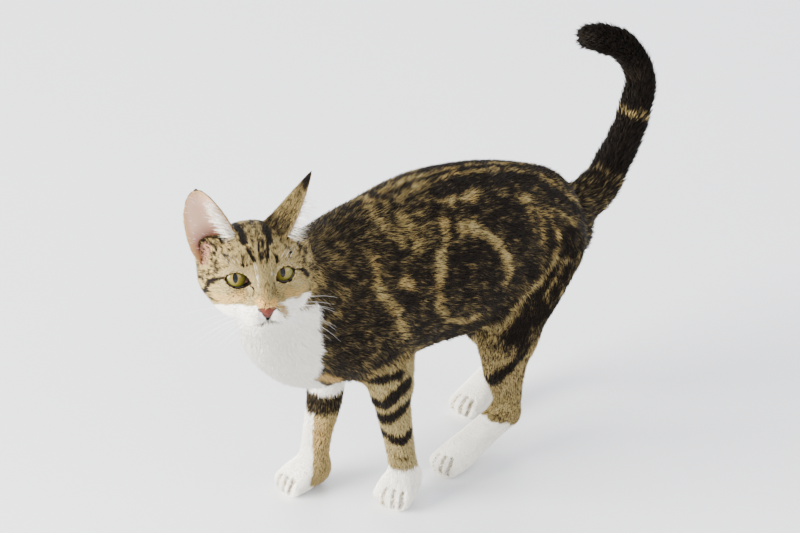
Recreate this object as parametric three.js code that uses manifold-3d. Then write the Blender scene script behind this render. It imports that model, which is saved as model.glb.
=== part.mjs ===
// A life-size young tabby cat, standing with its head turned to its left and its tail raised.
//
// Frame: millimetres, +Z up, the cat faces -Y and its left side is +X.
// The body is one smooth surface: sleeves swept along a bent axis and eggs, blended together.
// That surface is polygonised piece by piece and parted into named nodes by thin cuts.
// Every size is to the outside of the coat.

import * as THREE from 'three';
import { mergeVertices } from 'three/addons/utils/BufferGeometryUtils.js';
import { triTable } from 'three/addons/objects/MarchingCubes.js';
import Module from 'manifold-3d';

const wasm = await Module();
wasm.setup();
const { Manifold } = wasm;

// ---------------------------------------------------------------- driving dimensions

const GAP = 0.3;                    // clear space left between neighbouring nodes
const FLOOR = 0;                    // level of the soles

const CELL = { trunk: 16, neck: 12.5, head: 6.5, limb: 9.5, foot: 7.2, tail: 9.8 };

const HEAD = {
  centre: [13.6, -88.1, 230.1],     // middle of the brain case
  yaw: 64.6,                        // degrees turned to the cat's left
  pitch: 10,                        // degrees raised
};
const EYE = { side: 16, front: 17.6, up: 4, radius: 10.4, half: 7.7, open: 5.7, slant: 14, back: 4 };
const NOSE = { front: 47, up: -14.5, wide: 12.5, tall: 8, deep: 5 };

const COLOUR = {
  tabby: 0x4f4338, darkTabby: 0x3a322b, agouti: 0x8d7f6b, tan: 0xa58a62, white: 0xefece6,
  black: 0x1f1b19, iris: 0x9a9a3c, leather: 0xb5685c, inner: 0xd0a592,
};

// ---------------------------------------------------------------- frames and small tools

const UP = new THREE.Vector3(0, 0, 1);
const FORWARD = new THREE.Vector3(0, -1, 0);
const SIDE = new THREE.Vector3(1, 0, 0);
const rad = THREE.MathUtils.degToRad;
const vec = ([x, y, z]) => new THREE.Vector3(x, y, z);

const headForward = new THREE.Vector3(
  Math.sin(rad(HEAD.yaw)) * Math.cos(rad(HEAD.pitch)),
  -Math.cos(rad(HEAD.yaw)) * Math.cos(rad(HEAD.pitch)),
  Math.sin(rad(HEAD.pitch)));
const headLeft = new THREE.Vector3().crossVectors(UP, headForward).normalize();
const headUp = new THREE.Vector3().crossVectors(headForward, headLeft);

// a point of the head, given as (to its left, forward, up) from the middle of the brain case
const onHead = ([left, front, up]) => vec(HEAD.centre)
  .addScaledVector(headLeft, left).addScaledVector(headForward, front).addScaledVector(headUp, up);
const headRows = (rows) => rows.map(([l, f, u, ...radii]) => [...onHead([l, f, u]).toArray(), ...radii]);

function smoothMin(a, b, blend) {
  if (blend === 0 || a === Infinity) return Math.min(a, b);
  const h = THREE.MathUtils.clamp(0.5 + 0.5 * (b - a) / blend, 0, 1);
  return b + (a - b) * h - blend * h * (1 - h);
}

function splineRows(rows, steps) {
  const first = rows[0].map((v, k) => 2 * v - rows[1][k]);
  const last = rows.at(-1).map((v, k) => 2 * v - rows.at(-2)[k]);
  const p = [first, ...rows, last];
  const dense = [];
  for (let i = 0; i < rows.length - 1; i++) {
    for (let s = 0; s < steps; s++) {
      const t = s / steps;
      dense.push(rows[0].map((_, k) => 0.5 * (2 * p[i + 1][k] + (p[i + 2][k] - p[i][k]) * t
        + (2 * p[i][k] - 5 * p[i + 1][k] + 4 * p[i + 2][k] - p[i + 3][k]) * t * t
        + (3 * p[i + 1][k] - 3 * p[i + 2][k] + p[i + 3][k] - p[i][k]) * t * t * t)));
    }
  }
  dense.push(rows.at(-1));
  return dense;
}

// ---------------------------------------------------------------- flesh: sleeves and eggs

// A sleeve is swept along rows of [x, y, z, side radius, upper radius, lower radius].
// "upper" points along the up hint, and ends gives how far each round end reaches.
class Sleeve {
  constructor(rows, { up = UP, ends = [1, 1] } = {}) {
    this.rows = splineRows(rows, 4);
    this.ends = ends;
    const n = this.rows.length;
    this.frames = this.rows.map((row, i) => {
      const ahead = vec(this.rows[Math.min(i + 1, n - 1)]);
      const along = ahead.sub(vec(this.rows[Math.max(i - 1, 0)])).normalize();
      const side = new THREE.Vector3().crossVectors(along, up).normalize();
      const top = new THREE.Vector3().crossVectors(side, along);
      return [...side.toArray(), ...top.toArray(), ...along.toArray()];
    });
    this.box = new THREE.Box3();
    for (const row of this.rows) {
      const reach = Math.max(row[3], row[4], row[5]);
      this.box.expandByPoint(vec(row).addScalar(reach)).expandByPoint(vec(row).addScalar(-reach));
    }
  }

  distance(x, y, z) {
    let best = Infinity;
    let at = 0;
    let part = 0;
    for (let i = 0; i < this.rows.length - 1; i++) {
      const a = this.rows[i];
      const b = this.rows[i + 1];
      const d = [b[0] - a[0], b[1] - a[1], b[2] - a[2]];
      const len = d[0] * d[0] + d[1] * d[1] + d[2] * d[2];
      const dot = (x - a[0]) * d[0] + (y - a[1]) * d[1] + (z - a[2]) * d[2];
      const t = Math.min(1, Math.max(0, dot / len));
      const off = (x - a[0] - t * d[0]) ** 2 + (y - a[1] - t * d[1]) ** 2 + (z - a[2] - t * d[2]) ** 2;
      if (off < best) [best, at, part] = [off, i, t];
    }
    const mix = (list, k) => list[at][k] * (1 - part) + list[at + 1][k] * part;
    const q = [x - mix(this.rows, 0), y - mix(this.rows, 1), z - mix(this.rows, 2)];
    const along = (k) => q.reduce((sum, part, j) => sum + part * mix(this.frames, k + j), 0);
    const [u, v, w] = [along(0), along(3), along(6)];
    const wide = mix(this.rows, 3);
    const tall = mix(this.rows, v > 0 ? 4 : 5);
    const round = this.ends[w > 0 ? 1 : 0] * Math.min(wide, (mix(this.rows, 4) + mix(this.rows, 5)) / 2);
    return ellipsoidDistance(u, v, w, wide, tall, round);
  }
}

// An egg is an ellipsoid that stands square to the head, given by its centre and radii
// to the side, forward and up.
class Egg {
  constructor(centre, radii) {
    this.centre = onHead(centre);
    this.radii = radii;
    const reach = Math.max(...radii);
    this.box = new THREE.Box3(this.centre.clone().subScalar(reach), this.centre.clone().addScalar(reach));
  }

  distance(x, y, z) {
    const q = new THREE.Vector3(x, y, z).sub(this.centre);
    return ellipsoidDistance(q.dot(headLeft), q.dot(headForward), q.dot(headUp), ...this.radii);
  }
}

function ellipsoidDistance(u, v, w, a, b, c) {
  const k0 = Math.hypot(u / a, v / b, w / c);
  const k1 = Math.hypot(u / (a * a), v / (b * b), w / (c * c));
  return k0 > 1e-6 ? k0 * (k0 - 1) / Math.max(k1, 1e-9) : -Math.min(a, b, c);
}

const bothSides = (make) => [make(-1), make(1)];

// each entry: [shape, how widely it blends into what stands before it]
const flesh = [
  // trunk, from the breast to the rump
  [new Sleeve([
    [12, -58, 158, 26, 34, 30], [9, -38, 164, 38, 57, 48],
    [5, -5, 168, 45, 69, 62], [2, 30, 170, 48, 71, 64],
    [0, 70, 172, 52, 70.5, 66], [0, 110, 168, 54, 67.5, 66], [0, 148, 161, 51, 63, 56],
    [0, 176, 156, 45, 56, 43], [0, 197, 150, 37, 45, 29.5], [0, 213, 148, 27, 31, 23],
  ], { ends: [0.8, 0.6] }), 0],
  // neck, and the full bib under the throat
  [new Sleeve([[4, 5, 190, 34, 42, 40], [9, -28, 196, 34, 40, 42], [13, -56, 209, 32, 35, 42],
    [15, -76, 223, 30, 29, 36]]), 14],
  [new Sleeve([[10, -35, 150, 32, 36, 34], [16, -66, 172, 30, 30, 30], [20, -80, 196, 25, 25, 26]]), 12],
  // tail: raised, bent forward at the top
  [new Sleeve([
    [0, 205, 156, 22, 22, 22], [0, 246, 171, 17, 17, 17], [-3, 263, 184, 15.5, 15.5, 15.5],
    [-8, 284, 203, 14.5, 14.5, 14.5], [-13, 298, 223, 14, 14, 14], [-16, 303.5, 235.5, 13.5, 13.5, 13.5],
    [-19, 301, 251, 13, 13, 13], [-21, 289, 268, 13, 13, 13], [-23, 272, 279, 13, 13, 13],
    [-24, 258, 284.5, 11.5, 11.5, 11.5],
  ], { up: SIDE }), 10],
  // front legs: upper arms, then forearms, then paws
  [new Sleeve([[22, 2, 176, 16, 27, 26], [27, 4, 150, 17, 26, 25], [30, 12, 124, 16.5, 21, 20],
    [31, 17, 104, 15, 17, 17]], { up: FORWARD }), 16],
  [new Sleeve([[-20, 5, 175, 16, 26, 26], [-24, 5, 150, 17, 25, 25], [-27, 9, 125, 16.5, 21, 19],
    [-28, 9, 104, 15, 17, 15]], { up: FORWARD }), 16],
  [new Sleeve([[31, 17, 118, 15.5, 17, 16], [31.5, 17, 95, 14.5, 15.5, 15], [32, 21, 70, 13, 13.5, 12.5],
    [32, 25, 45, 12, 11.5, 11.5], [32.5, 28, 24, 12.5, 12, 12]], { up: FORWARD }), 8],
  [new Sleeve([[-28, 10, 118, 16, 17, 15], [-27.5, 5, 95, 16.5, 16, 14.5], [-27, 2, 70, 15.5, 14, 13],
    [-25.5, -6, 45, 12.5, 12, 11.5], [-25.5, -11, 19, 12.5, 12, 12]], { up: FORWARD }), 8],
  [new Sleeve([[31, 29, 17, 13, 12.5, 14], [32, 23, 13, 15.5, 12.5, 13], [34.5, 15, 9, 16, 9.5, 10.5]]), 7],
  [new Sleeve([
    [-26, -10, 15, 12.5, 12.5, 14], [-27.5, -22, 12, 14.5, 12.5, 12.5], [-28.5, -31, 9.5, 14.5, 9.5, 11],
  ]), 7],
  // hind legs: thighs, then shanks, then long feet with the heel raised
  [new Sleeve([[26, 170, 158, 24, 32, 30], [32, 150, 136, 23, 36, 28], [33, 136, 114, 19, 30, 26],
    [31, 131, 97, 17, 27, 25]], { up: FORWARD }), 14],
  [new Sleeve([[-26, 176, 158, 23, 32, 26], [-31, 166, 136, 22, 34, 24], [-32, 156, 114, 18, 29, 23],
    [-31, 151, 97, 17, 26, 22]], { up: FORWARD }), 14],
  [new Sleeve([[30, 131, 100, 17, 27, 25], [30, 129, 76, 14.5, 22, 20], [29, 131, 58, 12.5, 15.5, 15],
    [28, 133, 43, 11.5, 12.5, 12.5], [27, 133, 32, 11, 12, 11.5]], { up: FORWARD }), 10],
  [new Sleeve([[-31, 151, 100, 17, 26, 23], [-30, 157, 78, 14.5, 20, 16.5],
    [-29.5, 168, 58, 12.5, 15.5, 12.5], [-29.5, 176, 42, 11.5, 12.5, 12],
    [-29.5, 180, 31, 11, 12, 11.5]], { up: FORWARD }), 10],
  [new Sleeve([[27, 132, 29, 11, 11.5, 11.5], [27, 118, 24.5, 11.5, 12, 12], [27, 101, 18, 12.5, 12, 12],
    [27.5, 85, 13, 14.5, 11, 13], [27.5, 72, 9.5, 14.5, 9, 11]]), 7],
  [new Sleeve([
    [-29.5, 181, 26, 11, 11.5, 11.5], [-28.5, 171, 21.5, 11.5, 12, 12], [-27, 159, 16.5, 12.5, 12, 12.5],
    [-25, 147, 12, 14.5, 10, 12], [-23.5, 136, 9.5, 14.5, 8.5, 11]]), 7],
  // head: brain case, then temples, ear bases, cheeks, whisker pads and brows on both sides
  [new Egg([0, -4, 5], [31, 37, 26.5]), 10],
  ...bothSides((s) => [new Egg([s * 19.5, 3, 1], [19.5, 24, 21]), 9]),
  ...bothSides((s) => [new Egg([s * 28, 0, 15], [11, 13, 12]), 6]),
  ...bothSides((s) => [new Egg([s * 14, 14, -13], [16, 18, 13.5]), 8]),
  ...bothSides((s) => [new Egg([s * 8, 35.5, -17.5], [10.5, 11, 9]), 4]),
  ...bothSides((s) => [new Egg([s * 13, 17, 13], [12, 11, 8]), 7]),
  // bridge of the nose, jaw and chin
  [new Sleeve(headRows([[0, 14, 10, 13, 10, 12], [0, 27, 3, 10, 8.5, 12], [0, 36, -4.5, 8, 7, 11],
    [0, 43, -11, 6.5, 5.5, 8]]), { up: headUp, ends: [1, 0.7] }), 6],
  [new Egg([0, 10, -17], [20, 26, 14]), 8],
  [new Egg([0, 32.5, -24], [9.5, 10, 8]), 5],
];
const REACH = 36;                   // a shape further off than this has no say in the surface
flesh.forEach(([shape]) => shape.box.expandByScalar(REACH));

const probe = new THREE.Vector3();
function surface(x, y, z) {
  let f = Infinity;
  probe.set(x, y, z);
  for (const [shape, blend] of flesh) {
    if (shape.box.containsPoint(probe)) f = smoothMin(f, shape.distance(x, y, z), blend);
  }
  return Math.min(f, REACH);
}

// ---------------------------------------------------------------- polygonising

const CORNERS = [[0, 0, 0], [1, 0, 0], [1, 1, 0], [0, 1, 0], [0, 0, 1], [1, 0, 1], [1, 1, 1], [0, 1, 1]];
const EDGES = [
  [0, 1], [1, 2], [2, 3], [3, 0], [4, 5], [5, 6], [6, 7], [7, 4], [0, 4], [1, 5], [2, 6], [3, 7],
];

// marching cubes inside a box: returns points and triangles of one closed surface
function polygonise(field, box, cell) {
  const size = box.getSize(new THREE.Vector3());
  const n = size.toArray().map((s) => Math.ceil(s / cell) + 3);
  const start = box.min.clone().subScalar(cell * 1.37);
  const index = (i, j, k) => (k * n[1] + j) * n[0] + i;
  const place = (i, j, k) => [start.x + i * cell, start.y + j * cell, start.z + k * cell];
  const values = new Float64Array(n[0] * n[1] * n[2]);
  for (let k = 0; k < n[2]; k++) {
    for (let j = 0; j < n[1]; j++) {
      for (let i = 0; i < n[0]; i++) values[index(i, j, k)] = field(...place(i, j, k));
    }
  }
  const points = [];
  const triangles = [];
  const made = new Map();
  const cut = (corners, edge) => {
    const [a, b] = EDGES[edge].map((c) => corners[c]);
    const [ia, ib] = [index(...a), index(...b)];
    const key = Math.min(ia, ib) * values.length + Math.max(ia, ib);
    if (!made.has(key)) {
      const t = THREE.MathUtils.clamp(values[ia] / (values[ia] - values[ib]), 0.02, 0.98);
      const [pa, pb] = [place(...a), place(...b)];
      made.set(key, points.length);
      points.push(pa.map((v, axis) => v + (pb[axis] - v) * t));
    }
    return made.get(key);
  };
  for (let k = 0; k < n[2] - 1; k++) {
    for (let j = 0; j < n[1] - 1; j++) {
      for (let i = 0; i < n[0] - 1; i++) {
        const corners = CORNERS.map(([a, b, c]) => [i + a, j + b, k + c]);
        let mask = 0;
        corners.forEach((c, bit) => { if (values[index(...c)] < 0) mask |= 1 << bit; });
        for (let t = mask * 16; triTable[t] !== -1; t += 3) {
          triangles.push([0, 1, 2].map((k) => cut(corners, triTable[t + k])));
        }
      }
    }
  }
  return { points, triangles };
}

function slope(field, [x, y, z], h = 0.4) {
  return [
    (field(x + h, y, z) - field(x - h, y, z)) / (2 * h),
    (field(x, y + h, z) - field(x, y - h, z)) / (2 * h),
    (field(x, y, z + h) - field(x, y, z - h)) / (2 * h),
  ];
}

// even out the facets: slide each point to the middle of its neighbours, then back to the surface
function relax(field, { points, triangles }, rounds = 4) {
  const near = points.map(() => new Set());
  for (const [a, b, c] of triangles) {
    near[a].add(b).add(c);
    near[b].add(a).add(c);
    near[c].add(a).add(b);
  }
  for (let round = 0; round < rounds; round++) {
    const moved = points.map((p, i) => {
      const middle = [0, 0, 0];
      for (const other of near[i]) points[other].forEach((v, k) => { middle[k] += v / near[i].size; });
      return p.map((v, k) => v + 0.6 * (middle[k] - v));
    });
    moved.forEach((p, i) => {
      for (let step = 0; step < 2; step++) {
        const g = slope(field, p);
        const steep = Math.max(g[0] ** 2 + g[1] ** 2 + g[2] ** 2, 0.05);
        const f = field(...p);
        p = p.map((v, k) => v - f * g[k] / steep);
      }
      points[i] = p;
    });
  }
}

// ---------------------------------------------------------------- solids

function toSolid(points, triangles) {
  const vertProperties = new Float32Array(points.flat());
  const mesh = { numProp: 3, vertProperties, triVerts: new Uint32Array(triangles.flat()) };
  const solid = new Manifold(new wasm.Mesh(mesh));
  if (solid.volume() > 0) return solid;
  const flipped = triangles.map(([a, b, c]) => [a, c, b]);
  return new Manifold(new wasm.Mesh({ ...mesh, triVerts: new Uint32Array(flipped.flat()) }));
}

function geometrySolid(geometry) {
  geometry.deleteAttribute('normal');
  geometry.deleteAttribute('uv');
  const merged = mergeVertices(geometry, 1e-4);
  const points = [];
  for (let i = 0; i < merged.attributes.position.count; i++) {
    points.push(new THREE.Vector3().fromBufferAttribute(merged.attributes.position, i).toArray());
  }
  const triangles = [];
  for (let i = 0; i < merged.index.count; i += 3) {
    triangles.push([0, 1, 2].map((k) => merged.index.getX(i + k)));
  }
  return toSolid(points, triangles);
}

// keep the largest separate piece of a solid, as points and triangles
function largestPiece(solid) {
  const mesh = solid.getMesh();
  const count = mesh.vertProperties.length / mesh.numProp;
  const parent = Array.from({ length: count }, (_, i) => i);
  const find = (i) => {
    while (parent[i] !== i) i = parent[i] = parent[parent[i]];
    return i;
  };
  for (let t = 0; t < mesh.triVerts.length; t += 3) {
    const [a, b, c] = mesh.triVerts.subarray(t, t + 3);
    parent[find(a)] = find(b);
    parent[find(c)] = find(b);
  }
  const groups = new Map();
  for (let t = 0; t < mesh.triVerts.length; t += 3) {
    const root = find(mesh.triVerts[t]);
    if (!groups.has(root)) groups.set(root, []);
    groups.get(root).push([...mesh.triVerts.subarray(t, t + 3)]);
  }
  const kept = [...groups.values()].sort((a, b) => b.length - a.length)[0];
  const renumber = new Map();
  const points = [];
  const triangles = kept.map((corners) => corners.map((v) => {
    if (!renumber.has(v)) {
      renumber.set(v, points.length);
      points.push([...mesh.vertProperties.subarray(v * mesh.numProp, v * mesh.numProp + 3)]);
    }
    return renumber.get(v);
  }));
  return { points, triangles };
}

// ---------------------------------------------------------------- parting boxes

// A parting box runs from one point to another, wide to the side and deep towards the front hint.
function boxAlong({ from, to, wide, deep, front = FORWARD }, grow) {
  const [a, b] = [vec(from), vec(to)];
  const z = new THREE.Vector3().subVectors(b, a).normalize();
  const x = new THREE.Vector3().crossVectors(front, z).normalize();
  const y = new THREE.Vector3().crossVectors(z, x);
  const box = new THREE.BoxGeometry(wide + 2 * grow, deep + 2 * grow, a.distanceTo(b) + 2 * grow);
  return box.applyMatrix4(new THREE.Matrix4().makeBasis(x, y, z).setPosition(a.add(b).multiplyScalar(0.5)));
}

// the boxes of one node, cut down to what they share
function partingSolid(boxes, grow = 0) {
  return boxes.map((box) => geometrySolid(boxAlong(box, grow))).reduce((all, one) => all.intersect(one));
}

// listed from the tips inwards: a box takes what the boxes before it have left
const PARTS = [
  { name: 'paw_front_left', colour: 'white', cell: CELL.foot,
    boxes: [{ from: [32, 20, 31], to: [32, 20, -8], wide: 46, deep: 60 }] },
  { name: 'paw_front_right', colour: 'white', cell: CELL.foot,
    boxes: [{ from: [-26, -20, 31], to: [-26, -20, -8], wide: 46, deep: 60 }] },
  { name: 'foot_hind_left', colour: 'white', cell: CELL.foot,
    boxes: [{ from: [27, 103, 40], to: [27, 103, -8], wide: 46, deep: 106 }] },
  { name: 'foot_hind_right', colour: 'white', cell: CELL.foot,
    boxes: [{ from: [-26, 160, 36], to: [-26, 160, -8], wide: 46, deep: 86 }] },
  { name: 'upper_arm_left', colour: 'tabby', cell: CELL.limb,
    boxes: [{ from: [46, 2, 170], to: [32, 16, 97], wide: 42, deep: 54 }] },
  { name: 'upper_arm_right', colour: 'tabby', cell: CELL.limb,
    boxes: [{ from: [-37, 2, 170], to: [-29, 9, 97], wide: 42, deep: 54 }] },
  { name: 'thigh_left', colour: 'tabby', cell: CELL.limb,
    boxes: [{ from: [46, 170, 174], to: [32, 132, 93], wide: 44, deep: 74 }] },
  { name: 'thigh_right', colour: 'tabby', cell: CELL.limb,
    boxes: [{ from: [-46, 178, 174], to: [-32, 151, 93], wide: 44, deep: 70 }] },
  { name: 'forearm_left', colour: 'tan', cell: CELL.limb,
    boxes: [{ from: [31, 16, 103], to: [33, 28, 24], wide: 44, deep: 44 }] },
  { name: 'forearm_right', colour: 'tan', cell: CELL.limb,
    boxes: [{ from: [-28, 8, 103], to: [-25, -12, 24], wide: 44, deep: 44 }] },
  { name: 'shank_left', colour: 'tan', cell: CELL.limb,
    boxes: [{ from: [31, 132, 108], to: [27, 134, 30], wide: 44, deep: 70 }] },
  { name: 'shank_right', colour: 'tan', cell: CELL.limb,
    boxes: [{ from: [-32, 150, 108], to: [-29.5, 182, 24], wide: 42, deep: 62 }] },
  { name: 'tail_tip', colour: 'black', cell: CELL.tail,
    boxes: [{ from: [-21, 318, 272], to: [-21, 220, 272], wide: 60, deep: 56, front: UP }] },
  { name: 'tail_middle', colour: 'darkTabby', cell: CELL.tail,
    boxes: [{ from: [-12, 296, 250], to: [-12, 296, 201], wide: 60, deep: 64 }] },
  { name: 'tail_base', colour: 'darkTabby', cell: CELL.tail,
    boxes: [{ from: [0, 236, 167], to: [-9, 300, 214], wide: 60, deep: 60, front: UP }] },
  { name: 'head', colour: 'agouti', cell: CELL.head,
    boxes: [{ from: [14, -61, 211], to: [14, -127, 255.5], wide: 130, deep: 160, front: UP },
      { from: onHead([0, 0, -33]).toArray(), to: onHead([0, 0, 44]).toArray(), wide: 120, deep: 130 }] },
  { name: 'neck', colour: 'tabby', cell: CELL.neck,
    boxes: [{ from: [6, -22, 187], to: [16, -80, 226], wide: 130, deep: 110, front: UP }] },
  { name: 'breast', colour: 'white', cell: CELL.neck,
    boxes: [{ from: [14, -32, 150], to: [20, -130, 150], wide: 120, deep: 140, front: UP }] },
  { name: 'rump', colour: 'darkTabby', cell: CELL.trunk,
    boxes: [{ from: [0, 148, 150], to: [0, 260, 150], wide: 130, deep: 190, front: UP }] },
  { name: 'trunk', colour: 'darkTabby', cell: CELL.trunk,
    boxes: [{ from: [0, -60, 160], to: [0, 200, 160], wide: 130, deep: 180, front: UP }] },
];

const belowFloor = () => geometrySolid(new THREE.BoxGeometry(400, 700, 40).translate(0, 100, FLOOR - 20));

function partBody() {
  const taken = [];
  const solids = new Map();
  for (const { name, cell, boxes } of PARTS) {
    const domain = new THREE.Box3(new THREE.Vector3(-200, -200, -20), new THREE.Vector3(200, 400, 400));
    for (const box of boxes) {
      const frame = boxAlong(box, 2 * cell);
      frame.computeBoundingBox();
      domain.intersect(frame.boundingBox);
    }
    const clipped = (x, y, z) => Math.max(surface(x, y, z), domain.min.x - x, x - domain.max.x,
      domain.min.y - y, y - domain.max.y, domain.min.z - z, z - domain.max.z);
    const mesh = polygonise(clipped, domain, cell);
    relax(clipped, mesh);
    let solid = toSolid(mesh.points, mesh.triangles).intersect(partingSolid(boxes)).subtract(belowFloor());
    for (const other of taken) solid = solid.subtract(partingSolid(other, GAP));
    taken.push(boxes);
    solids.set(name, largestPiece(solid));
  }
  return solids;
}

// ---------------------------------------------------------------- eyes, nose and ears

const headBasis = (at) => {
  const axes = new THREE.Matrix4().makeBasis(headLeft, headUp, headForward);
  return axes.setPosition(onHead(at));
};

// a tube of almond section along the gaze, which opens the lids and trims the eyeball
function almond(side, grow) {
  const outline = new THREE.Shape();
  outline.absellipse(0, 0, EYE.half + grow, EYE.open + grow, 0, 2 * Math.PI);
  const tube = new THREE.ExtrudeGeometry(outline, { depth: 20, bevelEnabled: false, curveSegments: 5 });
  tube.rotateZ(rad(EYE.slant) * side);
  return geometrySolid(tube.applyMatrix4(headBasis([side * EYE.side, EYE.front - EYE.back, EYE.up])));
}

function eyeball(side) {
  const ball = new THREE.SphereGeometry(EYE.radius, 14, 10).rotateX(Math.PI / 2);
  return geometrySolid(ball.applyMatrix4(headBasis([side * EYE.side, EYE.front, EYE.up])));
}

function noseBlock(grow) {
  const block = new THREE.BoxGeometry(NOSE.wide + 2 * grow, NOSE.tall + 2 * grow, 2 * (NOSE.deep + grow));
  return geometrySolid(block.applyMatrix4(headBasis([0, NOSE.front, NOSE.up])));
}

const EARS = {
  ear_right: { base: [-25, 5, 19], tip: [-34, -6, 58], lean: [-1.5, 0, 1], half: 15.5,
    across: [-1, 0, 0], drop: [0, 0, -0.6], opens: [-0.32, 0.94, 0.1], cup: 12 },
  ear_left: { base: [25, -6, 19], tip: [45, -7, 60.5], lean: [0, 2, -2], half: 16,
    across: [0.12, -1, -0.3], drop: [0, 0, 0], opens: [0.91, 0.23, -0.33], cup: 18 },
};
const EAR = { thick: 2.6, edge: 1.2, across: 6, along: 7 };

// a cupped leaf: a runs from rim to rim, h from the base to the tip
function earPoint(ear, a, h) {
  const open = vec(ear.opens).normalize();
  const across = vec(ear.across).addScaledVector(vec(ear.drop), (1 - h) ** 2).normalize();
  const half = ear.half * Math.max((1 - h ** 1.8) ** 0.65, 0.06);
  const p = vec(ear.base).lerp(vec(ear.tip), h).addScaledVector(vec(ear.lean), 4 * h * (1 - h));
  p.addScaledVector(across, a * half).addScaledVector(open, -ear.cup * (1 - a * a) * (1 - h) ** 0.8);
  return { p, open };
}

function earSolid(ear) {
  const { across, along } = EAR;
  const points = [];
  const triangles = [];
  const row = across + 1;
  const sheet = (along + 1) * row;
  for (const back of [0, 1]) {
    for (let j = 0; j <= along; j++) {
      for (let i = 0; i <= across; i++) {
        const a = -1 + 2 * i / across;
        const h = j / along;
        const { p, open } = earPoint(ear, a, h);
        const thick = THREE.MathUtils.lerp(EAR.thick, EAR.edge, Math.max(Math.abs(a) ** 3, h ** 3));
        points.push(onHead(p.addScaledVector(open, -back * thick).toArray()).toArray());
      }
    }
  }
  const quad = (a, b, c, d) => triangles.push([a, b, c], [a, c, d]);
  for (let j = 0; j < along; j++) {
    for (let i = 0; i < across; i++) {
      const q = j * row + i;
      quad(q, q + 1, q + row + 1, q + row);
      quad(sheet + q, sheet + q + row, sheet + q + row + 1, sheet + q + 1);
    }
    const left = j * row;
    const right = left + across;
    quad(left, left + row, sheet + left + row, sheet + left);
    quad(right, sheet + right, sheet + right + row, right + row);
  }
  for (let i = 0; i < across; i++) {
    const top = along * row + i;
    quad(i, sheet + i, sheet + i + 1, i + 1);
    quad(top, top + 1, sheet + top + 1, sheet + top);
  }
  return toSolid(points, triangles);
}

// the same facets, moved out along the surface's normal
function swell({ points, triangles }, by) {
  return toSolid(points.map((p) => {
    const g = slope(surface, p);
    const steep = Math.hypot(...g) || 1;
    return p.map((v, k) => v + by * g[k] / steep);
  }), triangles);
}

// ---------------------------------------------------------------- the cat

const cat = new THREE.Group();

function addNode(name, { points, triangles }, colour, roughness = 0.9) {
  const geometry = new THREE.BufferGeometry();
  geometry.setAttribute('position', new THREE.Float32BufferAttribute(points.flat(), 3));
  geometry.setIndex(triangles.flat());
  geometry.computeVertexNormals();
  const material = new THREE.MeshStandardMaterial({ color: COLOUR[colour], roughness, metalness: 0 });
  const mesh = new THREE.Mesh(geometry, material);
  mesh.name = name;
  cat.add(mesh);
}

const body = partBody();
for (const { name, colour } of PARTS) {
  if (name !== 'head') addNode(name, body.get(name), colour);
}

// the head keeps clear of its eyes and nose, and the ears keep clear of head and neck
let head = toSolid(body.get('head').points, body.get('head').triangles);
for (const [name, side] of [['eye_right', -1], ['eye_left', 1]]) {
  addNode(name, largestPiece(eyeball(side).intersect(almond(side, 0))), 'iris', 0.15);
  head = head.subtract(almond(side, GAP));
}
addNode('nose', largestPiece(head.intersect(noseBlock(0))), 'leather', 0.5);
head = head.subtract(noseBlock(GAP));
addNode('head', largestPiece(head), 'agouti');
const skull = swell(body.get('head'), 1.2 * GAP).add(swell(body.get('neck'), 1.2 * GAP));
for (const [name, ear] of Object.entries(EARS)) {
  addNode(name, largestPiece(earSolid(ear).subtract(skull)), 'inner');
}

// the origin is on the floor, under the middle of the cat
const extent = new THREE.Box3().setFromObject(cat);
const middle = extent.getCenter(new THREE.Vector3());
cat.position.set(-middle.x, -middle.y, -extent.min.z);

export default cat;
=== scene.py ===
# %% [markdown]
# # A life-size museum cat
# The solids give the cat's outline out to the tips of its coat. This lesson dresses them: one skin
# without a seam, a coat of small solid tufts, two wet eyes, a nose, two thin ears and the whiskers.
# Sizes are in millimetres in the cat's own frame, where it faces -Y and its left is +X, until a
# mesh is made.

# %% Load the solids
import time
import bpy
import bmesh
import numpy as np
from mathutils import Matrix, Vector


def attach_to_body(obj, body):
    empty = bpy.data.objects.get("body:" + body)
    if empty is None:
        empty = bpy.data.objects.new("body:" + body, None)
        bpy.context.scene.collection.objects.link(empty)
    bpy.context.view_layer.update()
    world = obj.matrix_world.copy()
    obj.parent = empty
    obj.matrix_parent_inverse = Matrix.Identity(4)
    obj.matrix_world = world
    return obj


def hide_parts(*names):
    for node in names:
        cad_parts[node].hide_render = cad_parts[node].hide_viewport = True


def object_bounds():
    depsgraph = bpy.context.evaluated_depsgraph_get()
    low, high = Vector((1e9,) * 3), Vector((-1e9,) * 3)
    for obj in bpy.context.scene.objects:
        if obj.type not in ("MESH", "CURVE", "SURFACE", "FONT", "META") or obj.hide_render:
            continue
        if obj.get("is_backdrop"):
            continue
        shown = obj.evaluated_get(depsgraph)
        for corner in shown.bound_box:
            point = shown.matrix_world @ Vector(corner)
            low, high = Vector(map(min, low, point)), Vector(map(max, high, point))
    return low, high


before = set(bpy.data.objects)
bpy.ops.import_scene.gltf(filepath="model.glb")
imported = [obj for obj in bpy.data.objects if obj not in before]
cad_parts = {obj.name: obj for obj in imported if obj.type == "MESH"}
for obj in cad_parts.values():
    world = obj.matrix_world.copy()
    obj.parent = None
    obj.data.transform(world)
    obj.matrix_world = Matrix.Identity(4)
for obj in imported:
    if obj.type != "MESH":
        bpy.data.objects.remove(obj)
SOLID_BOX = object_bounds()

START = time.time()
MM = 0.001
UP = np.array([0.0, 0, 1])
FORWARD = np.array([0.0, -1, 0])


def unit(v):
    v = np.asarray(v, float)
    return v / np.maximum(np.linalg.norm(v, axis=-1, keepdims=True), 1e-9)


def tell(what):
    print(f"{time.time() - START:6.1f} s  {what}")


tell(f"{len(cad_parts)} solids loaded")

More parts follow.
